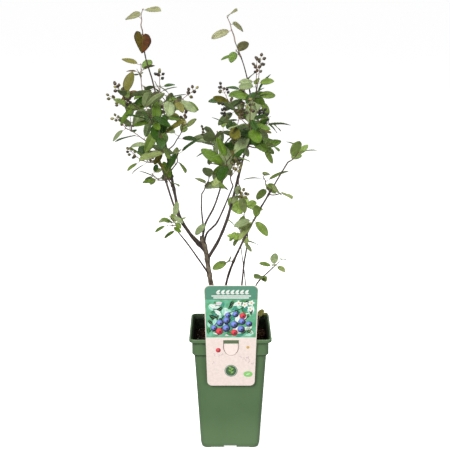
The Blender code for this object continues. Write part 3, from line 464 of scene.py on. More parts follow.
potSize = {
    "height": 0.196, "rimHalf": 0.0665, "collarHalf": 0.0618, "topHalf": 0.0583, "baseHalf": 0.0487,
    "corner": 0.010, "wall": 0.0014, "collarBottom": 0.1685, "bodyTop": 0.166, "lipBottom": 0.1906,
    "chamferHeight": 0.008, "chamferDepth": 0.0019, "floorBottom": 0.0045, "floorTop": 0.0075,
    "bossHalf": 0.012, "lipEdge": 0.0008, "notchWidth": 0.021, "notchHeight": 0.005,
    "gapWidth": 0.064, "gapHeight": 0.0012, "drainRadius": 0.004, "drainOffset": 0.027,
    "rimTop": 0.0034, "rimSlope": 0.1885, "cornerSteps": 12, "edgeRadius": 0.0009, "cutMargin": 0.001,
    "cutClear": 0.0002, "drainLead": 0.002, "drainStep": 0.0035, "shadedBelow": 0.002, "facesIn": 0.004,
}
potLook = {
    # the paler tone is laid on in random clouds and also as painted light on the lower part of the pot
    "colour": (0.086, 0.160, 0.066), "worn": (0.135, 0.222, 0.106), "dust": (0.17, 0.20, 0.13),
    # painted shade: a nearly black colour for the pot's inner walls above the soil
    "paintedInsideShade": (0.004, 0.005, 0.003), "roughness": 0.42, "skinDepth": 0.00012,
}


def potMaterial(name, shadedInside):
    look = potLook
    material, tree, shader, spot = startMaterial(name, look["colour"], look["roughness"])
    clouds = pattern(tree, blotchGroup, spot, Scale=22.0)
    scuffs = pattern(tree, fleckGroup, spot, Scale=260.0, Amount=0.16)
    height = separate(tree, spot)["Z"]
    # painted light: the pot is painted paler towards its foot, for the stronger light that falls there
    paintedLowLight = ramp(tree, height, 0.005, 0.075, 0.62, 0.0)
    mixed = blend(tree, calc(tree, "MULTIPLY_ADD", clouds, 0.16, paintedLowLight), look["colour"], look["worn"])
    mixed = blend(tree, calc(tree, "MULTIPLY", scuffs, 0.35), mixed, look["dust"])
    # painted shade: the inner walls are painted nearly black where shade falls inside the pot, in cloudy
    # patches and a little less dark near the rim
    if shadedInside:
        shadeClouds = pattern(tree, blotchGroup, spot, Scale=160.0)
        insideShade = calc(tree, "MULTIPLY_ADD", shadeClouds, 0.10, ramp(tree, height, 0.186, 0.1958, 0.93, 0.72))
        mixed = blend(tree, insideShade, mixed, look["paintedInsideShade"])
        feed(tree, shader, Specular_IOR_Level=0.12)
    gloss = calc(tree, "MULTIPLY_ADD", clouds, 0.12, look["roughness"] - 0.04)
    skin = bump(tree, pattern(tree, skinGroup, spot, Scale=1400.0), look["skinDepth"], 0.35)
    feed(tree, shader, Base_Color=mixed, Roughness=gloss, Normal=skin)
    return material


def squareRing(half, corner, height):
    points = []
    for quarter in range(4):
        turn = quarter * math.pi / 2
        middle = Matrix.Rotation(turn, 3, "Z") @ Vector((half - corner, half - corner, height))
        for step in range(potSize["cornerSteps"] + 1):
            angle = turn + math.pi / 2 * step / potSize["cornerSteps"]
            points.append(tuple(middle + Vector((math.cos(angle), math.sin(angle), 0.0)) * corner))
    return points


def softProfile(rows, radius):
    # rounds each turn of a profile with a short curve
    rows = [np.array(row) for row in rows]
    soft = [rows[0]]
    for before, here, after in zip(rows, rows[1:], rows[2:]):
        back = np.hypot(before[0] - here[0], before[2] - here[2])
        ahead = np.hypot(after[0] - here[0], after[2] - here[2])
        first = here + (before - here) * min(radius / max(back, 1e-9), 0.4)
        last = here + (after - here) * min(radius / max(ahead, 1e-9), 0.4)
        for u in (0.0, 0.25, 0.5, 0.75, 1.0):
            soft.append(first * (1 - u) ** 2 + here * 2 * u * (1 - u) + last * u ** 2)
    soft.append(rows[-1])
    return soft


def stackRings(rings):
    # rings of equally many points, closed at both ends towards their middles
    points = np.array([point for ring in rings for point in ring])
    ends = [np.mean(rings[0], axis=0), np.mean(rings[-1], axis=0)]
    return np.concatenate([points, ends]), ringFaces(len(rings), len(rings[0]))


def bodyHalf(height):
    share = (height - potSize["chamferHeight"]) / (potSize["bodyTop"] - potSize["chamferHeight"])
    return potSize["baseHalf"] + (potSize["topHalf"] - potSize["baseHalf"]) * share


def cutAway(thing, points, faces):
    heap = newHeap()
    addShape(heap, points, faces)
    cutter = buildMesh("cutter", heap, [])
    modifier = thing.modifiers.new("cut", "BOOLEAN")
    modifier.operation = "DIFFERENCE"
    modifier.solver = "EXACT"
    modifier.object = cutter
    graph = bpy.context.evaluated_depsgraph_get()
    mesh = bpy.data.meshes.new_from_object(thing.evaluated_get(graph))
    thing.modifiers.remove(modifier)
    thing.data = mesh
    bpy.data.objects.remove(cutter, do_unlink=True)


def boxShape(low, high):
    xs, ys, zs = zip(low, high)
    points = [(x, y, z) for z in zs for y in ys for x in xs]
    return points, [[(0, 2, 3, 1), (4, 5, 7, 6), (0, 1, 5, 4), (2, 6, 7, 3), (0, 4, 6, 2), (1, 3, 7, 5)]]


def makePot():
    s = potSize
    edge, wall, corner = s["lipEdge"], s["wall"], s["corner"]
    foot = s["baseHalf"] - s["chamferDepth"]
    bossCorner = s["bossHalf"] * 0.9
    profile = [
        (s["bossHalf"], bossCorner, 0.0),
        (s["bossHalf"], bossCorner, s["floorBottom"]),
        (foot - wall, corner - wall, s["floorBottom"]),
        (foot - wall, corner - wall, 0.0),
        (foot, corner, 0.0),
        (s["baseHalf"], corner, s["chamferHeight"]),
        (s["topHalf"], corner, s["bodyTop"]),
        (s["collarHalf"], corner, s["collarBottom"]),
        (s["collarHalf"], corner, s["lipBottom"] - edge),
        (s["rimHalf"], corner, s["lipBottom"]),
        (s["rimHalf"], corner, s["height"]),
        (s["rimHalf"] - s["rimTop"], corner - s["rimTop"], s["height"]),
        (s["collarHalf"] - wall, corner - wall, s["rimSlope"]),
        (s["collarHalf"] - wall, corner - wall, s["collarBottom"] + edge),
        (bodyHalf(s["bodyTop"]) - wall, corner - wall, s["bodyTop"] - edge),
        (bodyHalf(s["floorTop"]) - wall, corner - wall, s["floorTop"]),
    ]
    heap = newHeap()
    addShape(heap, *stackRings([squareRing(*row) for row in softProfile(profile, s["edgeRadius"])]))
    materials = [potMaterial("greenPlastic", False), potMaterial("shadedInsidePlastic", True)]
    pot = buildMesh("greenPot", heap, materials)
    for quarter in range(4):
        turn = Matrix.Rotation(quarter * math.pi / 2, 3, "Z")
        for width, height in ((s["notchWidth"], s["notchHeight"]), (s["gapWidth"], s["gapHeight"])):
            low = (-width / 2, -s["baseHalf"] - s["cutMargin"], -s["cutMargin"])
            high = (width / 2, -foot + 2 * wall, min(height, s["floorBottom"] - s["cutClear"]))
            points, faces = boxShape(low, high)
            cutAway(pot, [tuple(turn @ Vector(point)) for point in points], faces)
    for x in (-s["drainOffset"], s["drainOffset"]):
        for y in (-s["drainOffset"], s["drainOffset"]):
            path = [Vector((x, y, s["floorBottom"] - s["drainLead"] + s["drainStep"] * i)) for i in range(3)]
            cutAway(pot, *tube(path, [s["drainRadius"]] * 3, 24))
    # faces that look inward above the body take the material with painted shade
    for face in pot.data.polygons:
        outward = face.normal.x * face.center.x + face.normal.y * face.center.y
        if face.center.z > s["bodyTop"] - s["shadedBelow"] and outward < -s["facesIn"]:
            face.material_index = 1
    pot.data.set_sharp_from_angle(angle=math.radians(34))
    place(pot, ["pot"])


makePot()
print("pot moulded")

# soil

soilSize = {
    "top": 0.173, "grid": 130, "rough": 0.0016, "sunk": 0.0022, "edgeWidth": 0.006, "edgeDrop": 0.0012,
    "gap": 0.0003, "crumbs": 1100, "fibres": 150, "fibreRadius": 0.00022, "grit": 120,
    "gritSize": (0.0005, 0.0011), "crumbSizes": (0.0009, 0.0013, 0.0013, 0.0019, 0.0027),
}
# colour and roughness
soilLooks = {
    "darkPeat": ((0.008, 0.0045, 0.003), 0.95), "barkCrumb": ((0.026, 0.012, 0.006), 0.9),
    "woodFibre": ((0.060, 0.033, 0.018), 0.85), "paleGrit": ((0.20, 0.18, 0.15), 0.7),
}


def soilMaterial(name, colour, roughness):
    material, tree, shader, spot = startMaterial(name, colour, roughness)
    specks = pattern(tree, fleckGroup, spot, Scale=700.0, Amount=0.35)
    mixed = clouded(tree, pattern(tree, blotchGroup, spot, Scale=420.0), colour, 0.55, 1.5)
    mixed = blend(tree, calc(tree, "MULTIPLY", specks, 0.6), mixed, shade(colour, 3.2))
    skin = bump(tree, pattern(tree, skinGroup, spot, Scale=1800.0), 0.0006, 0.9)
    feed(tree, shader, Base_Color=mixed, Specular_IOR_Level=0.05, Normal=skin)
    return material


def lump(rng, centre, size, stretch):
    # a rough pebble
    rows, sides = 5, 8
    turn = Matrix.Rotation(rng.uniform(0, 6.3), 3, "Z") @ Matrix.Rotation(rng.uniform(-0.7, 0.7), 3, "X")
    rings = []
    for row in range(rows):
        angle = math.pi * (row + 0.5) / rows
        ring = []
        for side in range(sides):
            around = 2 * math.pi * (side + 0.5 * (row % 2)) / sides
            radius = size * rng.uniform(0.78, 1.18)
            out = Vector((math.sin(angle) * math.cos(around) * stretch, math.sin(angle) * math.sin(around),
                          math.cos(angle) * 0.8))
            ring.append(tuple(Vector(centre) + turn @ (out * radius)))
        rings.append(ring)
    return stackRings(rings[::-1])


def soilGrid(half, corner):
    # the rough top, with grid corners pulled in so that its outline follows the pot's round corners
    s = soilSize
    line = np.linspace(-half, half, s["grid"])
    x, y = np.meshgrid(line, line, indexing="ij")
    points = np.stack([x.ravel(), y.ravel(), np.zeros(x.size)], axis=-1)
    over = np.maximum(np.abs(points[:, :2]) - (half - corner), 0.0)
    reach = np.hypot(over[:, 0], over[:, 1])
    pull = np.where(reach > corner, corner / np.maximum(reach, 1e-9), 1.0)
    points[:, :2] = np.sign(points[:, :2]) * (np.abs(points[:, :2]) - over * (1 - pull[:, None]))
    height = np.abs(softNoise(points, 0.0016, 6)) * 0.35
    for size, seed, share in ((0.021, 3, 0.9), (0.008, 4, 0.8), (0.003, 5, 0.5)):
        height += softNoise(points, size, seed) * share
    edge = np.clip((half - np.max(np.abs(points[:, :2]), axis=1)) / s["edgeWidth"], 0.0, 1.0)
    points[:, 2] = s["top"] - s["sunk"] + height * s["rough"] - (1 - edge) * s["edgeDrop"]
    return points


def makeSoil():
    s = soilSize
    inner = potSize["wall"] + s["gap"]
    half = potSize["collarHalf"] - inner
    corner = potSize["corner"] - inner
    count = s["grid"]
    points = soilGrid(half, corner)
    heap = newHeap()
    addShape(heap, points, [gridFaces(count, count)])
    top = points[:, 2].reshape(count, count)
    profile = [
        (bodyHalf(potSize["floorTop"]) - inner, corner, potSize["floorTop"] + s["gap"]),
        (bodyHalf(potSize["bodyTop"]) - inner, corner, potSize["bodyTop"] - 0.0008),
        (half, corner, potSize["collarBottom"] + 0.0012),
        (half, corner, s["top"] - 0.006),
    ]
    addShape(heap, *stackRings([squareRing(*row) for row in profile]))
    rng = random.Random(41)

    def soilSpot(margin):
        x, y = (rng.uniform(-half + margin, half - margin) for axis in range(2))
        row, column = (int((value + half) / (2 * half) * (count - 1)) for value in (x, y))
        return Vector((x, y, top[row, column]))

    for i in range(s["crumbs"] + s["grit"]):
        gritty = i >= s["crumbs"]
        spot = soilSpot(0.004)
        size = rng.uniform(*s["gritSize"]) if gritty else rng.choice(s["crumbSizes"])
        slot = 3 if gritty else rng.choice((0, 0, 0, 1, 1, 2))
        stretch = rng.uniform(1.0, 2.2) if slot else rng.uniform(1.0, 1.4)
        addShape(heap, *lump(rng, spot + up(size * 0.35), size, stretch), slot=slot)
    for i in range(s["fibres"]):
        spot = soilSpot(0.01)
        angle = rng.uniform(0, 6.3)
        way = Vector((math.cos(angle), math.sin(angle), 0.0))
        bend = Vector((-way.y, way.x, 0.0)) * rng.uniform(-0.003, 0.003)
        long = rng.uniform(0.003, 0.008)
        lift = up(rng.uniform(0.0003, 0.0022))
        path = [spot + way * (long * u) + bend * (u * u) + lift * math.sin(math.pi * (u + 1) / 2)
                for u in (-1.0, -0.4, 0.2, 0.6, 1.0)]
        addShape(heap, *tube(path, [s["fibreRadius"]] * 5, 5), slot=2)
    materials = [soilMaterial(name, *look) for name, look in soilLooks.items()]
    place(buildMesh("pottingSoil", heap, materials), ["soil"])


makeSoil()
print("soil filled in")

# growth rule: the same as the one that made the solids

growth = {
    "goldenAngle": math.radians(137.5), "soilTop": 0.1733, "limbRings": 11,
    "trunkFlare": 0.45, "flareShare": 0.12, "stemRings": 5, "stemRadii": (0.0010, 0.0006), "stemKink": 0.0009,
    "twigRadii": (0.0008, 0.0005), "twigLength": (0.016, 0.030), "twigSpread": math.radians(52),
    "twigLeaves": 3, "leafSpread": math.radians(62), "lengthChange": 0.28, "widthShare": (0.44, 0.60),
    "fold": 0.16, "curl": 0.10, "roll": math.radians(30), "pitch": (-0.45, 0.30), "flatness": 0.55,
    "bladePitch": (-0.45, 0.30), "lightSide": Vector((0.0, -0.92, 0.40)), "petioleLength": (0.007, 0.011),
    "racemeLength": (0.020, 0.030), "racemeLift": 0.55, "berryCount": (4, 6), "berryRadius": 0.0026,
    "pedicelLength": (0.0085, 0.0055), "pedicelSpread": math.radians(58), "clearance": 0.0003,
    "turnChange": 0.35, "leafTaper": (1.08, 0.25), "twigsFrom": 0.8, "twigChange": (0.3, 0.9),
    "twigLift": 0.2, "fruitLeafAt": 0.4, "twigLeavesFrom": 0.35, "twigLeafSize": 0.85, "crestFrom": 0.7,
    "berriesFrom": 0.3, "endSpread": 0.15, "pedicelChange": (0.85, 1.15),
}
# limbs, with what carries each and where, the bends it passes and its tip
limbs = {
    "trunk": dict(foot=(-0.012, 0.0), via=[(-0.0315, 0.0, 0.269), (-0.0405, 0.0, 0.3275)],
        tip=(-0.047, 0.0, 0.3475), radii=(0.0048, 0.0032)),
    "left_bough": dict(on="trunk", at=0.865, via=[(-0.0765, -0.009, 0.373), (-0.086, -0.014, 0.4105),
        (-0.1035, -0.026, 0.5155), (-0.116, -0.035, 0.591), (-0.13, -0.04, 0.6445)],
        tip=(-0.133, -0.043, 0.681), radii=(0.0026, 0.0006)),
    "left_back_bough": dict(on="trunk", at=0.905, via=[(-0.074, 0.019, 0.3595), (-0.0905, 0.025, 0.3905),
        (-0.1095, 0.042, 0.446)], tip=(-0.121, 0.05, 0.4825), radii=(0.0019, 0.001)),
    "low_left_bough": dict(on="trunk", at=0.64, via=[(-0.067, -0.02, 0.3405)], tip=(-0.082, -0.035, 0.365),
        radii=(0.0014, 0.0009)),
    "right_bough": dict(on="trunk", at=0.79, via=[(-0.013, -0.005, 0.358), (0.004, -0.01, 0.4155),
        (0.0195, -0.014, 0.48), (0.0345, -0.015, 0.5295), (0.0255, -0.015, 0.609)],
        tip=(0.007, -0.012, 0.662), radii=(0.0024, 0.0006)),
    "middle_back_bough": dict(on="trunk", at=0.965, via=[(-0.0425, 0.01, 0.364),
        (-0.0255, 0.035, 0.3945)], tip=(-0.0115, 0.06, 0.434), radii=(0.0017, 0.001)),
    "middle_spur": dict(on="middle_back_bough", at=0.16, via=[(-0.047, 0.015, 0.3935)],
        tip=(-0.0465, 0.02, 0.416), radii=(0.0013, 0.0008)),
    "middle_front_bough": dict(on="trunk", at=0.93, via=[(-0.038, -0.01, 0.358),
        (-0.0215, -0.025, 0.3795)], tip=(0.0035, -0.055, 0.4445), radii=(0.0015, 0.0009)),
    "right_stem": dict(foot=(-0.01, -0.015), via=[(-0.007, -0.017, 0.2745), (0.0265, -0.027, 0.3625),
        (0.061, -0.027, 0.427)], tip=(0.09, -0.02, 0.4755), radii=(0.0021, 0.0009)),
    "inner_stem": dict(foot=(0.012, 0.014), via=[(0.0225, 0.024, 0.294), (0.029, 0.037, 0.3345)],
        tip=(0.027, 0.045, 0.3555), radii=(0.0017, 0.0009)),
    "thin_shoot": dict(foot=(0.028, 0.006), via=[(0.025, 0.01, 0.2665)], tip=(0.0175, 0.02, 0.3275),
        radii=(0.001, 0.0006)),
    "low_shoot": dict(foot=(0.014, -0.018), via=[(0.041, -0.03, 0.2755)], tip=(0.0655, -0.05, 0.31),
        radii=(0.0013, 0.0008)),
}

# sprays: each has its stem, its leaves, side twigs and fruit, all drawn from its seed, and some
# have finer growth, given by its leaves, its fruit sprigs and its seed
masses = {
    "left_leader": dict(on="left_bough", tip=(-0.132, -0.045, 0.712), bow=(-0.002, 0, 0), leaves=3,
        bare=0.35, leaf=0.042, face=1.6, seed=10870, mix="leader"),
    "left_leader_leaf": dict(on="left_bough", at=0.985, tip=(-0.1325, -0.05, 0.6765), leaves=1, bare=0.5,
        leaf=0.041, seed=8445),
    "left_second_leader": dict(on="left_bough", at=0.604, tip=(-0.14, 0.005, 0.626),
        bow=(-0.012, 0.004, 0), leaves=6, bare=0.45, leaf=0.03, face=0.6, seed=10414, finer=(4, 0, 358),
        mix="secondLeader"),
    "left_upper_fruit": dict(on="left_bough", at=0.694, tip=(-0.11, -0.015, 0.595), leaves=3, racemes=1,
        crest=True, bare=0.3, leaf=0.028, seed=1234, finer=(1, 0, 91)),
    "left_outer_upper": dict(on="left_bough", at=0.631, tip=(-0.162, -0.055, 0.583), bow=(0, 0, -0.004),
        leaves=4, racemes=1, crest=True, bare=0.3, leaf=0.034, seed=398, finer=(1, 1, 186)),
    "left_inner_upper": dict(on="left_bough", at=0.681, tip=(-0.074, -0.05, 0.579), bow=(0, 0, 0.003),
        leaves=5, twigs=1, crest=True, bare=0.3, leaf=0.034, seed=1713, finer=(2, 0, 300)),
    "left_outer": dict(on="left_back_bough", tip=(-0.172, 0.068, 0.517), bow=(0, 0, 0.003), leaves=5,
        twigs=1, crest=True, bare=0.25, leaf=0.03, seed=1893, finer=(1, 1, 221)),
    "left_heart": dict(on="left_bough", at=0.559, tip=(-0.124, -0.075, 0.56), bow=(0, -0.004, -0.003),
        leaves=6, twigs=1, bare=0.3, leaf=0.034, seed=1851, finer=(3, 1, 464)),
    "left_inner": dict(on="left_bough", at=0.492, tip=(-0.076, 0.012, 0.529), bow=(0.003, 0, -0.003),
        leaves=4, crest=True, bare=0.5, leaf=0.03, seed=552, finer=(1, 1, 43)),
    "left_middle": dict(on="left_bough", at=0.455, tip=(-0.106, -0.08, 0.53), bow=(0, -0.004, -0.004),
        leaves=6, bare=0.35, leaf=0.036, seed=2163, finer=(2, 0, 440)),
    "left_low_inner": dict(on="left_bough", at=0.4, tip=(-0.081, -0.05, 0.5), bow=(0.003, 0, -0.003),
        leaves=4, bare=0.4, leaf=0.032, seed=4818, finer=(1, 0, 54)),
    "left_low_outer": dict(on="left_back_bough", at=0.9, tip=(-0.148, 0.06, 0.465), bow=(0, 0, -0.003),
        leaves=4, racemes=1, crest=True, bare=0.3, leaf=0.032, seed=19471, finer=(0, 1, 305)),
    "left_low": dict(on="left_back_bough", at=0.72, tip=(-0.13, 0.066, 0.44), bow=(0, 0, -0.004),
        leaves=4, bare=0.35, leaf=0.026, seed=5, finer=(3, 1, 480)),
    "left_low_front": dict(on="left_bough", at=0.325, tip=(-0.098, -0.062, 0.466), bow=(0, 0, -0.004),
        leaves=4, bare=0.4, leaf=0.028, seed=8059, finer=(1, 0, 369)),
    "low_left": dict(on="low_left_bough", tip=(-0.095, -0.052, 0.396), bow=(0.002, 0, 0), leaves=5,
        twigs=1, bare=0.1, leaf=0.022, face=1.2, seed=10503, finer=(3, 0, 396), mix="lowLeft"),
    "fork_leaf": dict(on="left_bough", at=0.045, tip=(-0.06, -0.014, 0.352), leaves=1, bare=0.5,
        leaf=0.028, face=1.2, seed=9902),
    "right_leader": dict(on="right_bough", tip=(-0.005, -0.005, 0.699), bow=(0.001, 0, 0), leaves=3,
        bare=0.2, leaf=0.038, face=1.4, seed=11588, mix="leader"),
    "right_leader_leaves": dict(on="right_bough", at=0.935, tip=(0.0085, -0.022, 0.651), leaves=2,
        bare=0.2, leaf=0.036, face=1.4, seed=3807, finer=(1, 0, 287), mix="rightLeader"),
    "right_top_outer": dict(on="right_bough", at=0.716, tip=(0.039, -0.042, 0.607), bow=(0.003, 0, 0),
        leaves=5, racemes=1, crest=True, bare=0.35, leaf=0.03, seed=882, finer=(3, 0, 172)),
    "right_top_inner": dict(on="right_bough", at=0.686, tip=(0.02, 0.022, 0.591), bow=(0, 0.004, -0.003),
        leaves=6, twigs=1, bare=0.35, leaf=0.03, seed=852, finer=(2, 2, 249)),
    "right_top_left": dict(on="right_bough", at=0.644, tip=(-0.004, 0.045, 0.566), bow=(0, 0.004, -0.004),
        leaves=5, racemes=1, crest=True, bare=0.4, leaf=0.03, seed=572, finer=(1, 1, 296)),
    "right_left_fruit": dict(on="right_bough", at=0.525, tip=(-0.004, -0.05, 0.541),
        bow=(0, -0.004, -0.004), leaves=5, racemes=1, crest=True, bare=0.4, leaf=0.032, seed=1696,
        finer=(2, 2, 329)),
    "right_outer": dict(on="right_bough", at=0.636, tip=(0.062, 0.028, 0.536), bow=(0.003, 0, -0.006),
        leaves=5, racemes=1, bare=0.4, leaf=0.03, seed=2239, finer=(0, 1, 431)),
    "right_outer_low": dict(on="right_bough", at=0.547, tip=(0.064, -0.03, 0.506), bow=(0, 0, -0.004),
        leaves=6, bare=0.4, leaf=0.028, seed=743, finer=(3, 0, 475)),
    "right_middle": dict(on="right_bough", at=0.576, tip=(0.029, -0.072, 0.553), bow=(0, -0.003, -0.004),
        leaves=6, twigs=1, crest=True, bare=0.35, leaf=0.034, seed=682, finer=(3, 0, 321)),
    "middle_top": dict(on="middle_back_bough", tip=(-0.022, 0.075, 0.51), bow=(-0.003, 0, 0), leaves=6,
        twigs=1, racemes=1, bare=0.35, leaf=0.038, seed=600, finer=(2, 0, 402)),
    "middle_front": dict(on="middle_front_bough", tip=(-0.007, -0.092, 0.492), bow=(0, -0.003, 0),
        leaves=6, twigs=1, racemes=1, bare=0.3, leaf=0.038, seed=530, finer=(1, 1, 291)),
    "middle_low": dict(on="middle_spur", tip=(-0.033, 0.03, 0.446), bow=(0, 0, -0.002), leaves=6,
        bare=0.4, leaf=0.034, seed=544, finer=(2, 0, 191)),
    "right_low": dict(on="right_bough", at=0.407, tip=(0.016, -0.045, 0.43), bow=(0, 0, -0.003), leaves=2,
        crest=True, bare=0.4, leaf=0.024, face=1.2, seed=11161, finer=(1, 0, 238), mix="shoot"),
    "right_stem_top": dict(on="right_stem", tip=(0.108, -0.02, 0.498), bow=(0.003, 0, -0.002), leaves=4,
        bare=0.0, leaf=0.032, face=0.8, seed=7934, finer=(1, 0, 374), mix="rightStem"),
    "right_stem_inner": dict(on="right_stem", at=0.83, tip=(0.053, 0.012, 0.446), bow=(0, 0.003, 0),
        leaves=4, bare=0.35, leaf=0.028, seed=19823, finer=(1, 0, 104), mix="rightStem"),
    "right_stem_outer": dict(on="right_stem", at=0.82, tip=(0.08, -0.044, 0.432), bow=(0, 0, -0.002),
        leaves=3, bare=0.4, leaf=0.032, face=1.2, seed=18148, finer=(1, 0, 151), mix="rightStem"),
    "right_stem_low": dict(on="right_stem", at=0.7, tip=(0.036, -0.056, 0.392), bow=(0, 0, -0.002),
        leaves=4, bare=0.3, leaf=0.03, face=1.2, seed=12044, mix="rightStem"),
    "lone_leaf": dict(on="right_stem", at=0.44, tip=(-0.001, -0.034, 0.318), leaves=1, bare=0.5,
        leaf=0.04, face=1.4, seed=6921, finer=(1, 0, 145), mix="lowLeft"),
    "inner_stem_top": dict(on="inner_stem", tip=(0.021, 0.05, 0.389), leaves=3, bare=0.3, leaf=0.036,
        face=1.6, seed=7401, finer=(1, 0, 226), mix="innerStem"),
    "inner_stem_middle": dict(on="inner_stem", at=0.87, tip=(0.012, 0.055, 0.352), leaves=5, bare=0.25,
        leaf=0.027, face=0.6, seed=12072, finer=(2, 0, 90), mix="innerStem"),
    "thin_shoot_top": dict(on="thin_shoot", tip=(0.022, 0.022, 0.342), leaves=3, bare=0.2, leaf=0.026,
        face=1.2, seed=8419, finer=(2, 0, 44), mix="shoot"),
    "low_shoot_top": dict(on="low_shoot", tip=(0.076, -0.055, 0.322), leaves=4, bare=0.15, leaf=0.026,
        face=0.8, seed=2968, finer=(1, 0, 140), mix="shoot"),
    "low_shoot_leaf": dict(on="low_shoot", at=0.78, tip=(0.05, -0.044, 0.296), leaves=1, bare=0.5,
        leaf=0.04, face=1.2, seed=9443, finer=(1, 0, 381), mix="shoot"),
    "corner_sucker": dict(foot=(0.046, 0.046), tip=(0.051, 0.048, 0.203), leaves=2, bare=0.4, leaf=0.022,
        face=1.2, seed=4439, finer=(1, 0, 374), mix="rightLeader"),
    "left_upper_back": dict(on="left_bough", at=0.586, tip=(-0.104, 0.052, 0.572), bow=(0, 0.006, -0.006),
        leaves=6, twigs=1, racemes=1, bare=0.4, leaf=0.032, seed=146, finer=(1, 1, 120)),
    "left_back": dict(on="left_back_bough", at=0.96, tip=(-0.118, 0.108, 0.54), bow=(0, 0.006, -0.004),
        leaves=6, twigs=1, bare=0.35, leaf=0.034, seed=898, finer=(1, 0, 240)),
    "right_back": dict(on="right_bough", at=0.602, tip=(0.04, 0.088, 0.528), bow=(0, 0.004, -0.008),
        leaves=6, twigs=1, bare=0.35, leaf=0.032, seed=303, finer=(2, 0, 231)),
    "middle_back": dict(on="middle_back_bough", at=0.9, tip=(-0.02, 0.125, 0.478), bow=(0, 0.006, -0.006),
        leaves=6, twigs=1, bare=0.4, leaf=0.034, seed=1957, finer=(1, 0, 319)),
}
# what a spray has where its line says nothing
plainSpray = {"at": 1.0, "bow": (0.0, 0.0, 0.0), "twigs": 0, "racemes": 0, "crest": False, "face": 0.0,
              "finer": None, "mix": "crown"}
masses = {name: {**plainSpray, **mass} for name, mass in masses.items()}


def pathPoint(points, share):
    spot = min(max(share, 0.0), 1.0) * (len(points) - 1)
    step = min(int(spot), len(points) - 2)
    return points[step].lerp(points[step + 1], spot - step), (points[step + 1] - points[step]).normalized()


def turned(direction, azimuth, spread):
    level, across = sideAxes(direction)
    outward = level * math.cos(azimuth) + across * math.sin(azimuth)
    return (direction * math.cos(spread) + outward * math.sin(spread)).normalized()


def limbPath(limb, paths):
    if "foot" in limb:
        start = Vector((*limb["foot"], growth["soilTop"]))
    else:
        start = pathPoint(paths[limb["on"]], limb["at"])[0]
    return smoothLine([start, *limb["via"], limb["tip"]], growth["limbRings"])


def limbRadius(name, share):
    first, last = limbs[name]["radii"]
    rings = growth["limbRings"] - 1
    low = min(int(share * rings), rings - 1)
    sizes = []
    for step in (low, low + 1):
        size = first + (last - first) * step / rings
        if name == "trunk":
            size *= 1.0 + growth["trunkFlare"] * math.exp(-step / rings / growth["flareShare"])
        sizes.append(size)
    return sizes[0] + (sizes[1] - sizes[0]) * (share * rings - low)


def massStem(mass, paths):
    tip = Vector(mass["tip"])
    stemRadius = growth["stemRadii"][0]
    if "foot" in mass:
        start = Vector((*mass["foot"], growth["soilTop"]))
        root = start - up(0.004)
    else:
        root, along = pathPoint(paths[mass["on"]], mass["at"])
        direction = (tip - root).normalized()
        if mass["at"] >= 1.0:
            start = root + along * (growth["clearance"] + stemRadius * 0.3)
        else:
            cosine = abs(direction.dot(along))
            gap = limbRadius(mass["on"], mass["at"]) + growth["clearance"] + stemRadius * cosine
            start = root + direction * (gap / math.sqrt(1.0 - cosine * cosine))
    count = growth["stemRings"]
    shares = [i / (count - 1) for i in range(count)]
    path = [start.lerp(tip, share) + Vector(mass["bow"]) * math.sin(math.pi * share) for share in shares]
    level, across = sideAxes((tip - start).normalized())
    for i in range(1, count - 1):
        path[i] = path[i] + level * ((1 if i % 2 else -1) * growth["stemKink"])
    return path, root


def growLeaf(rng, carrier, share, azimuth, size, face):
    start, along = pathPoint(carrier, share)
    direction = turned(along, azimuth, growth["leafSpread"])
    direction.z = direction.z * growth["flatness"] + rng.uniform(*growth["pitch"])
    direction.normalize()
    stalk = rng.uniform(*growth["petioleLength"])
    length = size * rng.uniform(1.0 - growth["lengthChange"], 1.0 + growth["lengthChange"])
    width = length * rng.uniform(*growth["widthShare"])
    blade = (direction + up(rng.uniform(*growth["bladePitch"]))).normalized()
    level, upward = sideAxes(blade)
    roll = rng.gauss(0.0, growth["roll"])
    toLight = growth["lightSide"] - blade * growth["lightSide"].dot(blade)
    normal = (upward * math.cos(roll) + level * math.sin(roll) + toLight * face).normalized()
    return {"foot": start, "base": start + direction * stalk, "direction": blade, "normal": normal,
            "length": length, "width": width, "along": along}


def growRaceme(rng, start, along):
    direction = (along + up(growth["racemeLift"])).normalized()
    tip = start + direction * rng.uniform(*growth["racemeLength"])
    count = rng.randint(*growth["berryCount"])
    azimuth = rng.uniform(0.0, 2 * math.pi)
    berries = []
    for i in range(count):
        share = growth["berriesFrom"] + (1.0 - growth["berriesFrom"]) * i / (count - 1)
        azimuth += growth["goldenAngle"]
        spread = growth["pedicelSpread" if i < count - 1 else "endSpread"]
        foot = start.lerp(tip, share)
        first, last = growth["pedicelLength"]
        reach = (first + (last - first) * share) * rng.uniform(*growth["pedicelChange"])
        berries.append((foot, foot + turned(direction, azimuth, spread) * reach))
    return {"axis": [start, tip], "berries": berries}


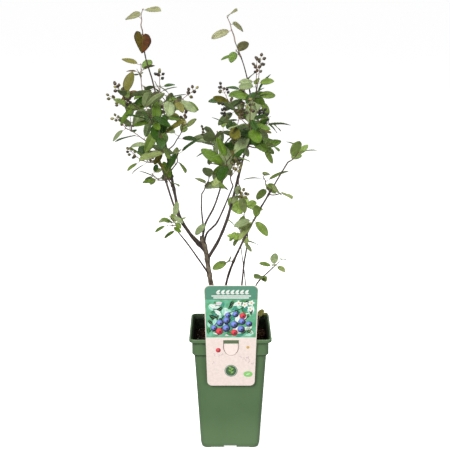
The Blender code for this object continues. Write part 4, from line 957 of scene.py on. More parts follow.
def planMass(mass, stem):
    rng = random.Random(mass["seed"])
    azimuth = rng.uniform(0.0, 2 * math.pi)
    bare = mass["bare"]
    face = mass["face"]
    change = growth["turnChange"]
    largest, taper = growth["leafTaper"]
    leaves = []
    for i in range(mass["leaves"]):
        azimuth += growth["goldenAngle"] + rng.uniform(-change, change)
        share = bare + (1.0 - bare) * (i + 1) / mass["leaves"]
        leaves.append(growLeaf(rng, stem, share, azimuth, mass["leaf"] * (largest - taper * share), face))
    sides = []
    sideCount = mass["twigs"] + mass["racemes"]
    low = bare * growth["twigsFrom"]
    for i in range(sideCount):
        azimuth += growth["goldenAngle"] + rng.uniform(-change, change)
        share = low + (1.0 - low) * (i + rng.uniform(*growth["twigChange"])) / sideCount
        start, along = pathPoint(stem, share)
        direction = turned(along, azimuth, growth["twigSpread"])
        direction.z += growth["twigLift"]
        direction.normalize()
        tip = start + direction * rng.uniform(*growth["twigLength"])
        twig = {"path": [start, tip], "leaves": [], "raceme": None}
        fruiting = i < mass["racemes"]
        first, size = growth["twigLeavesFrom"], mass["leaf"] * growth["twigLeafSize"]
        for j in range(1 if fruiting else growth["twigLeaves"]):
            azimuth += growth["goldenAngle"]
            spot = first + (1.0 - first) * j / (growth["twigLeaves"] - 1)
            if fruiting:
                spot = growth["fruitLeafAt"]
            twig["leaves"].append(growLeaf(rng, twig["path"], spot, azimuth, size, face))
        if fruiting:
            twig["raceme"] = growRaceme(rng, tip, direction)
        sides.append(twig)
    if mass["crest"]:
        before, end = stem[-2], stem[-1]
        crest = growRaceme(rng, end, (end - before).normalized())
        sides.append({"path": [before.lerp(end, growth["crestFrom"]), end], "leaves": [], "raceme": crest})
    return leaves, sides


# how near the solid's surface a planned point has to be for its leaf, twig or fruit to stand
standReach = {"tip": 0.0003, "twig": 0.0012, "fruit": 0.0015}


def meshTree(things):
    points, faces = [], []
    for thing in things:
        first = len(points)
        points += [vert.co.copy() for vert in thing.data.vertices]
        faces += [tuple(first + i for i in face.vertices) for face in thing.data.polygons]
    return BVHTree.FromPolygons(points, faces)


def touches(tree, point, reach):
    return tree.find_nearest(point, reach)[0] is not None


def leafStands(leaf, tree):
    # the solid keeps only the leaves that found room, so its own tips tell which ones to dress
    across = leaf["normal"].cross(leaf["direction"])
    half = leaf["width"] / 2
    found = 0
    for share, side in ((1.0, 0.0), (0.72, 0.88), (0.72, -0.88), (0.28, 0.90), (0.28, -0.90)):
        lift = growth["fold"] * half * abs(side) - growth["curl"] * leaf["length"] * share * share
        point = leaf["base"] + leaf["direction"] * (share * leaf["length"]) + across * (side * half)
        found += touches(tree, point + leaf["normal"] * lift, standReach["tip"])
    return found >= 4


def berryStands(foot, centre, tree):
    direction = (centre - foot).normalized()
    return touches(tree, centre + direction * growth["berryRadius"], standReach["tip"])


# boughs

barkLook = {
    "trunkSides": 36, "boughSides": 18, "step": 0.0016, "relief": 0.00030, "lenticel": 0.00018,
    "nodeSwell": 0.30, "nodeWidth": 0.0032, "collar": 0.55, "collarWidth": 0.006, "fullness": 1.16,
    "budSpacing": 0.021, "budLength": 0.0028, "budRadius": 0.0008, "mapLength": 0.015, "footStep": 0.0015,
    "collarFit": 0.92, "sway": 0.05, "swayLength": 0.011, "firstBud": 0.7, "lastBud": 0.97,
    "budClear": 0.006, "budSpread": math.radians(50), "budChange": (0.8, 1.15), "budFrom": 0.0011,
}


def barkMaterial(name, colour, dark, pale, roughness):
    material, tree, shader, spot = startMaterial(name, colour, roughness)
    streaks = pattern(tree, streakGroup, surfaceMap(tree), Scale=7.0)
    clouds = pattern(tree, blotchGroup, spot, Scale=95.0)
    dots = pattern(tree, fleckGroup, spot, Scale=420.0, Amount=0.42)
    mixed = blend(tree, streaks, dark, colour)
    mixed = blend(tree, calc(tree, "MULTIPLY", clouds, 0.55), mixed, pale)
    mixed = blend(tree, calc(tree, "MULTIPLY", dots, 0.7), mixed, shade(pale, 1.25))
    rough = calc(tree, "MULTIPLY_ADD", clouds, -0.15, roughness)
    height = calc(tree, "MULTIPLY_ADD", streaks, 0.9, pattern(tree, skinGroup, spot, Scale=1500.0))
    feed(tree, shader, Base_Color=mixed, Roughness=rough, Normal=bump(tree, height, 0.00025, 0.7))
    return material


def addBud(heap, spot, direction, length, radius, slot=1):
    shares = (0.0, 0.25, 0.55, 0.85, 1.0)
    widths = (0.75, 1.0, 0.85, 0.42, 0.08)
    points, faces = tube([spot + direction * (length * share) for share in shares],
                         [radius * width for width in widths], 7)
    addShape(heap, points, faces, slot=slot, maps=np.tile([0.3, 0.2], (len(points), 1)))


def addBranch(heap, path, radii, sides, slot, relief=0.0):
    points, faces = tube(path, radii, sides, relief)
    steps = [(b - a).length for a, b in zip(path, path[1:])]
    heights = np.concatenate([[0.0], np.cumsum(steps)]) / barkLook["mapLength"]
    around = 1.0 - np.abs(2.0 * np.arange(sides) / sides - 1.0)
    maps = np.stack(np.meshgrid(heights, around, indexing="ij")[::-1], axis=-1).reshape(-1, 2)
    addShape(heap, points, faces, slot=slot, maps=np.concatenate([maps, [[0.5, 0.0], [0.5, heights[-1]]]]))


def barkRelief(name, radii, lengths, sides):
    # fine ridges all round and small raised dots
    angles = 2 * np.pi * np.arange(sides) / sides
    shape = (len(radii), sides)
    spots = np.empty((*shape, 3))
    spots[:, :, 0] = np.cos(angles) * radii[:, None]
    spots[:, :, 1] = np.sin(angles) * radii[:, None]
    spots[:, :, 2] = lengths[:, None] * 0.16
    flat = spots.reshape(-1, 3)
    ridges = softNoise(flat, 0.0017, 11 + len(name)) + 0.5 * softNoise(flat, 0.0008, 12)
    dots = softNoise(flat * np.array([1.0, 1.0, 6.0]), 0.0013, 13 + len(name))
    dots = np.clip(dots - 0.62, 0.0, 0.2) * 5.0 * barkLook["lenticel"]
    strength = np.clip(radii / 0.003, 0.2, 1.3)[:, None]
    return ridges.reshape(shape) * barkLook["relief"] * strength + dots.reshape(shape)


def dressLimb(heap, name, path, carried, rng):
    # carried says where along the limb other limbs and sprays start
    look = barkLook
    limb = limbs[name]
    trunk = name == "trunk"
    sides = look["trunkSides"] if trunk else look["boughSides"]
    length = sum((b - a).length for a, b in zip(path, path[1:]))
    count = max(int(length / look["step"]), 12)
    fine = smoothLine(path, count)
    if "foot" in limb:
        fine = [fine[0] - up(look["footStep"] * i) for i in (3, 2, 1)] + fine
    shares = np.array([max(0.0, (i - (len(fine) - count)) / (count - 1)) for i in range(len(fine))])
    lengths = shares * length
    radii = np.array([limbRadius(name, share) for share in shares])
    if not trunk:
        radii *= look["fullness"]
    for spot in carried:
        radii *= 1.0 + look["nodeSwell"] * np.exp(-((shares - spot) * length / look["nodeWidth"]) ** 2)
    if "on" in limb:
        collar = min(limbRadius(limb["on"], limb["at"]) * look["collarFit"] / radii[0] - 1.0, look["collar"])
        radii *= 1.0 + collar * np.exp(-(lengths / look["collarWidth"]) ** 2)
    sway = softNoise(np.outer(lengths, [1.0, 0.0, 0.0]), look["swayLength"], len(name) * 7)
    radii *= 1.0 + look["sway"] * sway
    addBranch(heap, fine, radii, sides, 0, barkRelief(name, radii, lengths, sides))
    turn = rng.uniform(0, 6.3)
    for i in range(0 if trunk else int(length / look["budSpacing"])):
        share = (i + look["firstBud"]) * look["budSpacing"] / length
        turn += growth["goldenAngle"]
        if share > look["lastBud"] or any(abs(share - at) * length < look["budClear"] for at in carried):
            continue
        spot, along = pathPoint(fine, share)
        out = turned(along, turn, look["budSpread"])
        radius = limbRadius(name, share)
        size = rng.uniform(*look["budChange"]) * min(1.0, radius / look["budFrom"])
        addBud(heap, spot + out * radius * 0.7, (out + along * 0.8).normalized(), look["budLength"] * size,
               look["budRadius"] * size)


stubLook = {"rings": 12, "sides": 16, "lean": 0.9, "radii": (0.0027, 0.0022), "relief": 0.00018,
            "cutRadii": (0.0021, 0.0020, 0.0016, 0.0011), "cutStep": 0.0001}


def makeStub(heap, path):
    # the pruned end of the old leader: a short peg with a pale cut face and a raised lip
    look = stubLook
    rings, sides = look["rings"], look["sides"]
    tip, direction = pathPoint(path, 1.0)
    level, across = sideAxes(direction)
    lean = (direction - level * look["lean"]).normalized()
    fine = smoothLine([tip - direction * 0.004, tip - direction * 0.0015 + lean * 0.0004, tip + lean * 0.0018,
                       tip + lean * 0.0033], rings)
    points = np.repeat(np.array([tuple(point) for point in fine]), sides, axis=0)
    points += np.tile(np.eye(3)[np.arange(sides) % 3] * 0.004, (rings, 1))
    relief = softNoise(points, 0.002, 5).reshape(rings, sides) * look["relief"]
    addBranch(heap, fine, np.linspace(*look["radii"], rings), sides, 0, relief)
    cap = [fine[-1] + lean * look["cutStep"] * i for i in range(4)]
    addBranch(heap, cap, look["cutRadii"], sides, 2)


barkColours = {
    "trunkBark": ((116, 102, 82), (50, 40, 31), (152, 142, 120), 0.85),
    "boughBark": ((64, 51, 43), (30, 22, 19), (96, 83, 72), 0.75),
    "budScales": ((84, 60, 46), (48, 32, 26), (120, 92, 70), 0.6),
    "cutWood": ((168, 146, 112), (120, 98, 72), (190, 172, 140), 0.8),
    "twigBark": ((96, 76, 58), (58, 44, 36), (128, 112, 92), 0.65),
    "twigBud": ((104, 72, 48), (64, 40, 30), (132, 100, 66), 0.6),
}


def bark(name):
    colour, dark, pale, roughness = barkColours[name]
    return barkMaterial(name, paint(*colour), paint(*dark), paint(*pale), roughness)


def makeBoughs(paths):
    rng = random.Random(7)
    trunkHeap, boughHeap = newHeap(), newHeap()
    for name, path in paths.items():
        carried = [limb["at"] for limb in limbs.values() if limb.get("on") == name]
        carried += [mass["at"] for mass in masses.values() if mass.get("on") == name and mass["at"] < 1.0]
        dressLimb(trunkHeap if name == "trunk" else boughHeap, name, path, carried, rng)
    makeStub(trunkHeap, paths["trunk"])
    bud = bark("budScales")
    trunk = buildMesh("trunkBark", trunkHeap, [bark("trunkBark"), bud, bark("cutWood")])
    place(trunk, ["trunk"])
    boughs = buildMesh("boughBark", boughHeap, [bark("boughBark"), bud])
    place(boughs, [name for name in paths if name != "trunk"])


limbPaths = {}
for limbName, limb in limbs.items():
    limbPaths[limbName] = limbPath(limb, limbPaths)
makeBoughs(limbPaths)
print("trunk and boughs grown")

# leaves

leafLook = {
    "rows": 38, "columns": (-1.0, -0.72, -0.38, -0.09, 0.0, 0.09, 0.38, 0.72, 1.0), "thickness": 0.00026,
    "teeth": 0.035, "pleat": 0.00020, "pleats": 7.5, "wave": 0.030, "twist": 0.28, "bend": 0.05,
    "droop": 0.05, "groove": 0.00022, "petiole": (0.00042, 0.00034), "midrib": (0.00034, 0.00010),
    "baseLobe": 0.035, "heartLobe": 0.20, "widthTrim": 0.90, "heartTrim": 1.30,
}
leafTints = {
    "deepGreen": paint(40, 71, 4), "midGreen": paint(82, 109, 26), "freshGreen": paint(105, 127, 54),
    "softGreen": paint(134, 147, 87), "oliveGreen": paint(100, 98, 34), "tanGreen": paint(127, 128, 89),
    "rustBrown": paint(92, 70, 28), "greyGreen": paint(130, 144, 99), "paleGreen": paint(130, 142, 94),
    "springGreen": paint(148, 176, 82),
}
undersideTints = {
    "paleUnderside": paint(136, 150, 100), "greyUnderside": paint(112, 130, 84),
    "tanUnderside": paint(152, 148, 106), "freshUnderside": paint(138, 162, 82),
}
# how often each tint is drawn, and the mixes that have an underside of their own
tintMix = {
    "crown": {
        "deepGreen": 30, "midGreen": 29, "freshGreen": 16, "softGreen": 8, "oliveGreen": 7, "greyGreen": 10},
    "leader": {"tanGreen": 1},
    "secondLeader": {"midGreen": 3, "oliveGreen": 2, "rustBrown": 2, "freshGreen": 2},
    "rightLeader": {"midGreen": 2, "oliveGreen": 1, "deepGreen": 1},
    "rightStem": {"freshGreen": 4, "greyGreen": 3, "softGreen": 5, "springGreen": 4},
    "innerStem": {"springGreen": 9, "freshGreen": 2},
    "lowLeft": {"freshGreen": 5, "greyGreen": 2, "midGreen": 3},
    "shoot": {"freshGreen": 4, "softGreen": 4, "greyGreen": 3, "paleGreen": 2, "midGreen": 1},
}
undersideOfMix = {"innerStem": "freshUnderside", "rightStem": "freshUnderside", "shoot": "freshUnderside"}


def leafMaterial(name, colour, vein, rim, roughness, raised, second=None, shine=0.22):
    # raised veins are those of an underside, and a second colour covers one half of the blade
    material, tree, shader, spot = startMaterial(name, colour, roughness)
    surface = surfaceMap(tree)
    chart = separate(tree, surface)
    clouds = pattern(tree, blotchGroup, spot, Scale=130.0)
    wide = pattern(tree, blotchGroup, spot, Scale=34.0)
    veins = addNode(tree, "ShaderNodeGroup", {"node_tree": veinGroup}, Vector=surface).outputs
    mixed = clouded(tree, clouds, colour, 0.72, 1.22)
    if second is not None:
        half = ramp(tree, calc(tree, "MULTIPLY_ADD", wide, 0.5, chart["X"]), 0.50, 0.86)
        mixed = blend(tree, half, mixed, clouded(tree, clouds, second, 0.6, 1.3))
    mixed = blend(tree, calc(tree, "MULTIPLY", wide, 0.4), mixed, shade(colour, 0.82))
    edge = calc(tree, "MAXIMUM", ramp(tree, fromMidrib(tree, chart["X"]), 0.80, 1.0),
                ramp(tree, chart["Y"], 0.9, 1.0))
    mixed = blend(tree, calc(tree, "MULTIPLY", edge, 0.6 if second is None else 1.0), mixed, rim)
    mixed = blend(tree, calc(tree, "MULTIPLY", veins["Veins"], 0.42), mixed, vein)
    rough = calc(tree, "MULTIPLY_ADD", clouds, 0.10, roughness - 0.05)
    ribs = calc(tree, "MULTIPLY", veins["Height"], -1.0 if raised else 1.0)
    height = calc(tree, "MULTIPLY_ADD", pattern(tree, skinGroup, spot, Scale=2600.0), 0.25, ribs)
    feed(tree, shader, Base_Color=mixed, Roughness=rough, Specular_IOR_Level=shine,
         Normal=bump(tree, height, 0.00035, 0.6))
    return material


def stalkMaterial(name, colour):
    material, tree, shader, spot = startMaterial(name, colour, 0.55)
    mixed = clouded(tree, pattern(tree, blotchGroup, spot, Scale=240.0), colour, 0.7, 1.3)
    skin = pattern(tree, skinGroup, spot, Scale=2400.0)
    feed(tree, shader, Base_Color=mixed, Normal=bump(tree, skin, 0.0002, 0.5))
    return material


def bladeRelief(leaf, rng, heart, lengthwise, sideways):
    # how far each grid point lies sideways, along and off the flat blade
    look = leafLook
    length, half = leaf["length"], leaf["width"] / 2 * look["heartTrim" if heart else "widthTrim"]
    share = lengthwise[:, 0]
    if heart:
        outline = (share / 0.28) ** 0.30 * ((1 - share) / 0.72) ** 0.80
    else:
        outline = (share / 0.456) ** 0.52 * ((1 - share) / 0.544) ** 0.62
    size = np.repeat(outline[:, None], sideways.shape[1], axis=1)
    size[:, [0, -1]] *= (1.0 + look["teeth"] * ((np.arange(len(share)) % 2) - 0.5) * (share > 0.12))[:, None]
    out = np.abs(sideways)
    lobe = look["heartLobe"] if heart else look["baseLobe"]
    x = sideways * size * half
    y = lengthwise * length - lobe * length * np.exp(-(lengthwise / 0.13) ** 2) * out ** 1.4
    z = growth["fold"] * half * out * size - growth["curl"] * length * lengthwise ** 2
    phase = rng.uniform(0, 6.3)
    waves = np.sin(2 * np.pi * lengthwise * rng.uniform(1.0, 1.9) + phase + sideways * 0.9)
    z += look["wave"] * half * waves * out ** 1.5
    pleats = np.cos(2 * np.pi * (lengthwise * look["pleats"] - 1.3 * out))
    z += look["pleat"] * pleats * np.minimum(out * 3, 1)
    z -= look["droop"] * rng.uniform(-0.4, 1.0) * length * lengthwise ** 3
    z -= look["groove"] * np.exp(-(sideways / 0.07) ** 2) * (1 - lengthwise)
    x += look["bend"] * rng.uniform(-1, 1) * length * lengthwise ** 2
    twist = (0.0 if heart else look["twist"]) * rng.uniform(-1, 1) * lengthwise
    return x * np.cos(twist) - z * np.sin(twist) * 0.3, y, z + x * np.sin(twist)


def bladeShape(leaf, rng, heart):
    # both sheets of a blade as one grid each, then the rim between them, and the line of the midrib
    look = leafLook
    rows, columns = look["rows"], len(look["columns"])
    shares = (1 - np.cos(np.pi * np.linspace(0.025, 0.975, rows))) / 2
    lengthwise, sideways = np.meshgrid(shares, np.array(look["columns"]), indexing="ij")
    x, y, z = bladeRelief(leaf, rng, heart, lengthwise, sideways)
    along, normal = np.array(leaf["direction"]), np.array(leaf["normal"])
    across = np.cross(normal, along)
    middle = np.array(leaf["base"]) + y[..., None] * along + x[..., None] * across + z[..., None] * normal
    lift = normal * look["thickness"] / 2
    under = (middle - lift).reshape(-1, 3)
    count = rows * columns
    topFaces = gridFaces(rows, columns)
    grid = np.arange(count).reshape(rows, columns)
    border = np.concatenate([grid[0], grid[1:, -1], grid[-1, -2::-1], grid[-2:0:-1, 0]])
    after = np.roll(border, -1)
    rim = np.stack([border, after, after + count, border + count], axis=-1)
    faces = [topFaces, topFaces[:, ::-1] + count, rim]
    maps = np.stack([(sideways + 1) / 2, lengthwise], axis=-1).reshape(-1, 2)
    ridge = [Vector(under[row * columns + columns // 2]) for row in range(0, rows - 3, 3)]
    points = np.concatenate([(middle + lift).reshape(-1, 3), under])
    return points, faces, np.concatenate([maps, maps]), ridge


def addLeaf(heap, leaf, rng, top, under, stalk, heart):
    points, faces, maps, ridge = bladeShape(leaf, rng, heart)
    addShape(heap, points, faces, slot=[top, under, top], maps=maps)
    foot, base = leaf["foot"], leaf["base"]
    inner = base + leaf["direction"] * min(0.0025, leaf["length"] * 0.08) - leaf["normal"] * 0.0001
    sag = up(-0.0005)
    line = smoothLine([foot, foot.lerp(base, 0.35) + sag * 0.7, foot.lerp(base, 0.75) + sag, base, inner], 9)
    addBranch(heap, line, np.linspace(*leafLook["petiole"], 9), 6, stalk)
    addBranch(heap, ridge, np.linspace(*leafLook["midrib"], len(ridge)), 5, under)


# berries, twigs and buds

berryLook = {
    "sides": 12, "rings": (0.12, 0.5, 0.95, 1.4, 1.85, 2.3, 2.7, 2.95), "sepals": 5, "sepalLength": 0.0013,
    "clusterSize": (7, 9), "apart": 0.0052, "clear": 0.0030, "sizeChange": (0.86, 1.06), "paleBelow": 0.51,
    "alike": 0.7, "sepalHalf": 0.0006,
    "stalkRadii": (0.00042, 0.00034, 0.00030, 0.00030, 0.00036, 0.00050), "tries": 60, "from": 0.28,
    "spread": (0.7, 1.15), "reach": (0.0048, 0.0085),
}
# how often each tint is drawn for a cluster high up, and for one lower down where fruit ripens later
ripeShares = {"high": (5, 6, 1, 2), "low": (6, 2, 6, 0)}
berryTints = {
    "oliveBerry": (paint(88, 84, 36), paint(44, 36, 22)),
    "brownBerry": (paint(76, 60, 34), paint(30, 23, 18)),
    "paleBerry": (paint(146, 142, 82), paint(96, 78, 44)),
    "darkBerry": (paint(44, 42, 32), paint(20, 17, 18)),
}


def berryMaterial(name, colour, dark):
    material, tree, shader, spot = startMaterial(name, colour, 0.42)
    clouds = pattern(tree, blotchGroup, spot, Scale=330.0)
    dots = pattern(tree, fleckGroup, spot, Scale=1100.0, Amount=0.4)
    crown = ramp(tree, separate(tree, surfaceMap(tree))["Y"], 0.55, 0.95)
    mixed = blend(tree, crown, clouded(tree, clouds, colour, 0.75, 1.25), dark)
    mixed = blend(tree, calc(tree, "MULTIPLY", dots, 0.5), mixed, shade(colour, 1.7))
    rough = calc(tree, "MULTIPLY_ADD", clouds, 0.18, 0.34)
    skin = pattern(tree, skinGroup, spot, Scale=2600.0)
    feed(tree, shader, Base_Color=mixed, Roughness=rough, Normal=bump(tree, skin, 0.0002, 0.4))
    return material


def addBerry(heap, foot, centre, slot, stalkSlot, rng):
    look = berryLook
    direction = (centre - foot).normalized()
    radius = growth["berryRadius"] * rng.uniform(*look["sizeChange"])
    path = [centre - direction * (radius * math.cos(angle)) for angle in look["rings"]]
    points, faces = tube(path, [radius * math.sin(angle) for angle in look["rings"]], look["sides"])
    level = np.repeat(np.linspace(0.0, 1.0, len(path)), look["sides"])
    maps = np.stack([np.full(len(level), 0.5), level], axis=-1)
    addShape(heap, points, faces, slot=slot, maps=np.concatenate([maps, [[0.5, 0.0], [0.5, 1.0]]]))
    side, across = sideAxes(direction)
    for i in range(look["sepals"]):
        angle = 2 * math.pi * (i + rng.uniform(-0.1, 0.1)) / look["sepals"]
        out = side * math.cos(angle) + across * math.sin(angle)
        beside = direction.cross(out) * look["sepalHalf"]
        base = centre + direction * (radius * 0.90) + out * radius * 0.34
        tip = base + (direction * 0.8 + out * 0.75).normalized() * look["sepalLength"]
        corners = [base + beside, base - beside, tip, base - out * 0.0003 + direction * 0.0002]
        addShape(heap, [tuple(corner) for corner in corners], [[(0, 1, 2), (1, 3, 2), (3, 0, 2), (1, 0, 3)]],
                 slot=slot, maps=np.tile([0.5, 1.0], (4, 1)))
    end = centre - direction * radius * 0.9
    stalk = smoothLine([foot, foot.lerp(end, 0.5) - up(0.0004), end], len(look["stalkRadii"]))
    addBranch(heap, stalk, look["stalkRadii"], 6, stalkSlot)


def moreBerries(raceme, kept, rng, solids, centres):
    # fills a cluster up to the number that the real one carries, where there is room
    look = berryLook
    start, tip = raceme["axis"]
    direction = (tip - start).normalized()
    wanted = rng.randint(*look["clusterSize"])
    added = []
    for attempt in range(look["tries"]):
        if len(kept) + len(added) >= wanted:
            break
        foot = start.lerp(tip, rng.uniform(look["from"], 1.0))
        way = turned(direction, rng.uniform(0, 6.3), rng.uniform(*look["spread"]))
        centre = foot + way * rng.uniform(*look["reach"])
        tooNear = any((centre - other).length < look["apart"] for other in centres)
        if not tooNear and not touches(solids, centre, look["clear"]):
            added.append((foot, centre))
            centres.append(centre)
    return added


# finer growth: small leaves and fruit sprigs that fill the room the solids leave free

finerLook = {
    "leafSize": (0.60, 0.95), "face": 1.2, "clear": 0.0019, "apart": 0.0026, "tries": 8,
    "sprigLength": (0.012, 0.021), "sprigTries": 6, "sprigClear": 0.0012, "sprigApart": 0.0016,
    "berryTries": 14, "berryCount": (4, 8), "berryClear": 0.0032, "berryApart": 0.0036,
    "berryFrom": 0.45, "berrySpread": (0.5, 1.15), "berryReach": (0.0046, 0.0078), "leafFrom": 0.6,
    "sprigFrom": 0.5, "sprigTo": 0.95, "sprigSpread": (0.7, 1.2),
}


def bladeMarks(leaf):
    # places on a blade that have to stay clear of all else
    across = leaf["normal"].cross(leaf["direction"]) * (leaf["width"] / 2)
    reach = leaf["direction"] * leaf["length"]
    spots = [(share, 0.0) for share in (0.12, 0.35, 0.8, 1.0)]
    for share, side in ((0.3, 0.85), (0.55, 0.5), (0.6, 0.95), (0.85, 0.5)):
        spots += [(share, side), (share, -side)]
    return [leaf["base"] + reach * share + across * side for share, side in spots]


def insideBox(point):
    return all(cadBox[0][axis] + 0.002 < point[axis] < cadBox[1][axis] - 0.002 for axis in range(3))


def hasRoom(marks, solids, taken, clear, apart):
    # clear of the solids, and apart from the marks of the finer growth so far
    if not all(insideBox(mark) and not touches(solids, mark, clear) for mark in marks):
        return False
    return not any(taken.find_range(mark, apart) for mark in marks)


def pointTree(points):
    tree = KDTree(len(points))
    for i, point in enumerate(points):
        tree.insert(point, i)
    tree.balance()
    return tree


def sprigBerries(rng, foot, tip, direction, solids, taken):
    look = finerLook
    berries = []
    turn = rng.uniform(0.0, 6.3)
    for i in range(look["berryTries"]):
        turn += growth["goldenAngle"]
        start = foot.lerp(tip, rng.uniform(look["berryFrom"], 1.0))
        way = turned(direction, turn, rng.uniform(*look["berrySpread"]))
        centre = start + way * rng.uniform(*look["berryReach"])
        clear = all((centre - other).length > berryLook["apart"] for otherFoot, other in berries)
        if clear and hasRoom([centre], solids, taken, look["berryClear"], look["berryApart"]):
            berries.append((start, centre))
        if len(berries) >= look["berryCount"][1]:
            break
    return berries


def finerGrowth(mass, stem, solids, marks):
    # draws from its own seed and keeps what finds room: leaves first, then fruit sprigs
    look = finerLook
    leafCount, sprigCount, seed = mass["finer"]
    rng = random.Random(seed)
    leaves, sprigs = [], []
    taken = pointTree(marks)
    azimuth = rng.uniform(0.0, 2 * math.pi)
    for i in range(look["tries"]):
        if len(leaves) >= leafCount:
            break
        azimuth += growth["goldenAngle"]
        share = rng.uniform(mass["bare"] * look["leafFrom"], 1.0)
        size = mass["leaf"] * rng.uniform(*look["leafSize"])
        leaf = growLeaf(rng, stem, share, azimuth, size, look["face"])
        spots = bladeMarks(leaf)
        if hasRoom(spots, solids, taken, look["clear"], look["apart"]):
            leaves.append(leaf)
            marks += spots
            taken = pointTree(marks)
    for i in range(look["sprigTries"]):
        if len(sprigs) >= sprigCount:
            break
        azimuth += growth["goldenAngle"]
        foot, along = pathPoint(stem, rng.uniform(mass["bare"] * look["sprigFrom"], look["sprigTo"]))
        direction = turned(along, azimuth, rng.uniform(*look["sprigSpread"])) + up(growth["racemeLift"])
        direction.normalize()
        tip = foot + direction * rng.uniform(*look["sprigLength"])
        line = [foot.lerp(tip, share) for share in (0.4, 0.6, 0.8, 1.0)]
        if not hasRoom(line, solids, taken, look["sprigClear"], look["sprigApart"]):
            continue
        berries = sprigBerries(rng, foot, tip, direction, solids, taken)
        if len(berries) >= look["berryCount"][0]:
            sprigs.append(([foot, tip], berries))
            marks += [centre for start, centre in berries]
            taken = pointTree(marks)
    return leaves, sprigs


# foliage: every spray with its stem, side twigs, fruit and leaves

regions = {
    "crownLeft": [name for name in masses if name.startswith(("left", "low_left", "fork"))],
    "crownRight": [name for name in masses if name.startswith("right") and not name.startswith("right_stem")],
    "crownMiddle": [name for name in masses if name.startswith("middle")],
}
regions["lowGrowth"] = [name for name in masses if not any(name in group for group in regions.values())]
# rings, sides and radii of each kind of stem, and the length and radius of each kind of bud
stemKinds = {
    "spray": (30, 8, (growth["stemRadii"][0] * 1.1, growth["stemRadii"][1])),
    "sideTwig": (14, 7, growth["twigRadii"]),
    "cluster": (10, 6, (0.00055, 0.00040)),
    "sprig": (8, 6, (0.00052, 0.00038)),
}
budKinds = {"spray": (0.0022, 0.0007), "sideTwig": (0.0020, 0.0006), "leaf": (0.0018, 0.00055)}
leafSlots = [*leafTints, "heartLeaf", *undersideTints, "greenStalk", "redStalk"]
twigSlots = ["twigBark", "twigBud", "leaderStem", "redStalk"]
berrySlots = [*berryTints, "redStalk", "greenStalk"]


def foliageMaterials():
    heart = leafMaterial("heartLeaf", paint(68, 58, 8), paint(92, 80, 30), paint(34, 14, 6), 0.7, False,
                         second=paint(72, 32, 12), shine=0.08)
    materials = {
        "heartLeaf": heart,
        "greenStalk": stalkMaterial("greenStalk", paint(116, 122, 64)),
        "redStalk": stalkMaterial("redStalk", paint(112, 74, 60)),
        "leaderStem": stalkMaterial("leaderStem", paint(132, 112, 100)),
        "twigBark": bark("twigBark"), "twigBud": bark("twigBud"),
    }
    for name, colour in leafTints.items():
        materials[name] = leafMaterial(name, colour, shade(colour, 1.75), shade(colour, 0.6), 0.42, False)
    for name, colour in undersideTints.items():
        materials[name] = leafMaterial(name, colour, shade(colour, 1.35), shade(colour, 0.75), 0.62, True)
    for name, colours in berryTints.items():
        materials[name] = berryMaterial(name, *colours)
    return materials


def addStem(plant, kind, points, slot):
    rings, sides, radii = stemKinds[kind]
    line = smoothLine(points, rings)
    addBranch(plant["twigs"], line, np.linspace(*radii, rings), sides, twigSlots.index(slot))
    return line


def addEndBud(plant, kind, line):
    addBud(plant["twigs"], line[-1], (line[-1] - line[-2]).normalized(), *budKinds[kind])


def addCluster(plant, rng, kind, ends, berries):
    # a fruit stalk and its berries: those of a cluster are not all of one ripeness
    addStem(plant, kind, ends, "redStalk")
    height = "low" if ends[1].z < berryLook["paleBelow"] else "high"
    ripeness = rng.choices(range(4), weights=ripeShares[height])[0]
    for foot, centre in berries:
        other = kind == "cluster" and rng.random() >= berryLook["alike"]
        slot = rng.randrange(4) if other else ripeness
        stalk = berrySlots.index("redStalk") + (rng.random() < 0.4)
        addBerry(plant["berries"], foot, centre, slot, stalk, rng)


def addSideTwig(plant, rng, twig, tree, barkName):
    # one side twig with its fruit or its end bud: it gives back the leaves that stand on it
    start, tip = twig["path"]
    if not touches(tree, tip, standReach["twig"]):
        return []
    line = addStem(plant, "sideTwig", [start, start.lerp(tip, 0.5) - up(0.0005), tip], barkName)
    raceme = twig["raceme"]
    if raceme is None:
        addEndBud(plant, "sideTwig", line)
    elif touches(tree, raceme["axis"][1], standReach["fruit"]):
        berries = [pair for pair in raceme["berries"] if berryStands(*pair, tree)]
        plant["centres"] += [centre for foot, centre in berries]
        berries += moreBerries(raceme, berries, rng, plant["solids"], plant["centres"])
        addCluster(plant, rng, "cluster", raceme["axis"], berries)
    return [leaf for leaf in twig["leaves"] if leafStands(leaf, tree)]


def addSprayLeaf(plant, heap, rng, leaf, name):
    mixName = masses[name]["mix"]
    heart = name == "left_leader_leaf"
    topName, underName = "heartLeaf", "tanUnderside"
    if not heart:
        topName = rng.choices(list(tintMix[mixName]), weights=list(tintMix[mixName].values()))[0]
    if "leader" not in name:
        underName = rng.choice(("paleUnderside", "greyUnderside"))
    underName = undersideOfMix.get(mixName, underName)
    stalk = leafSlots.index("greenStalk") + (rng.random() < 0.5)
    addLeaf(heap, leaf, rng, leafSlots.index(topName), leafSlots.index(underName), stalk, heart)
    out, along = (leaf["base"] - leaf["foot"]).normalized(), leaf["along"]
    way = (out * 0.5 + along).normalized()
    addBud(plant["twigs"], leaf["foot"] + (out + along) * 0.0006, way, *budKinds["leaf"])


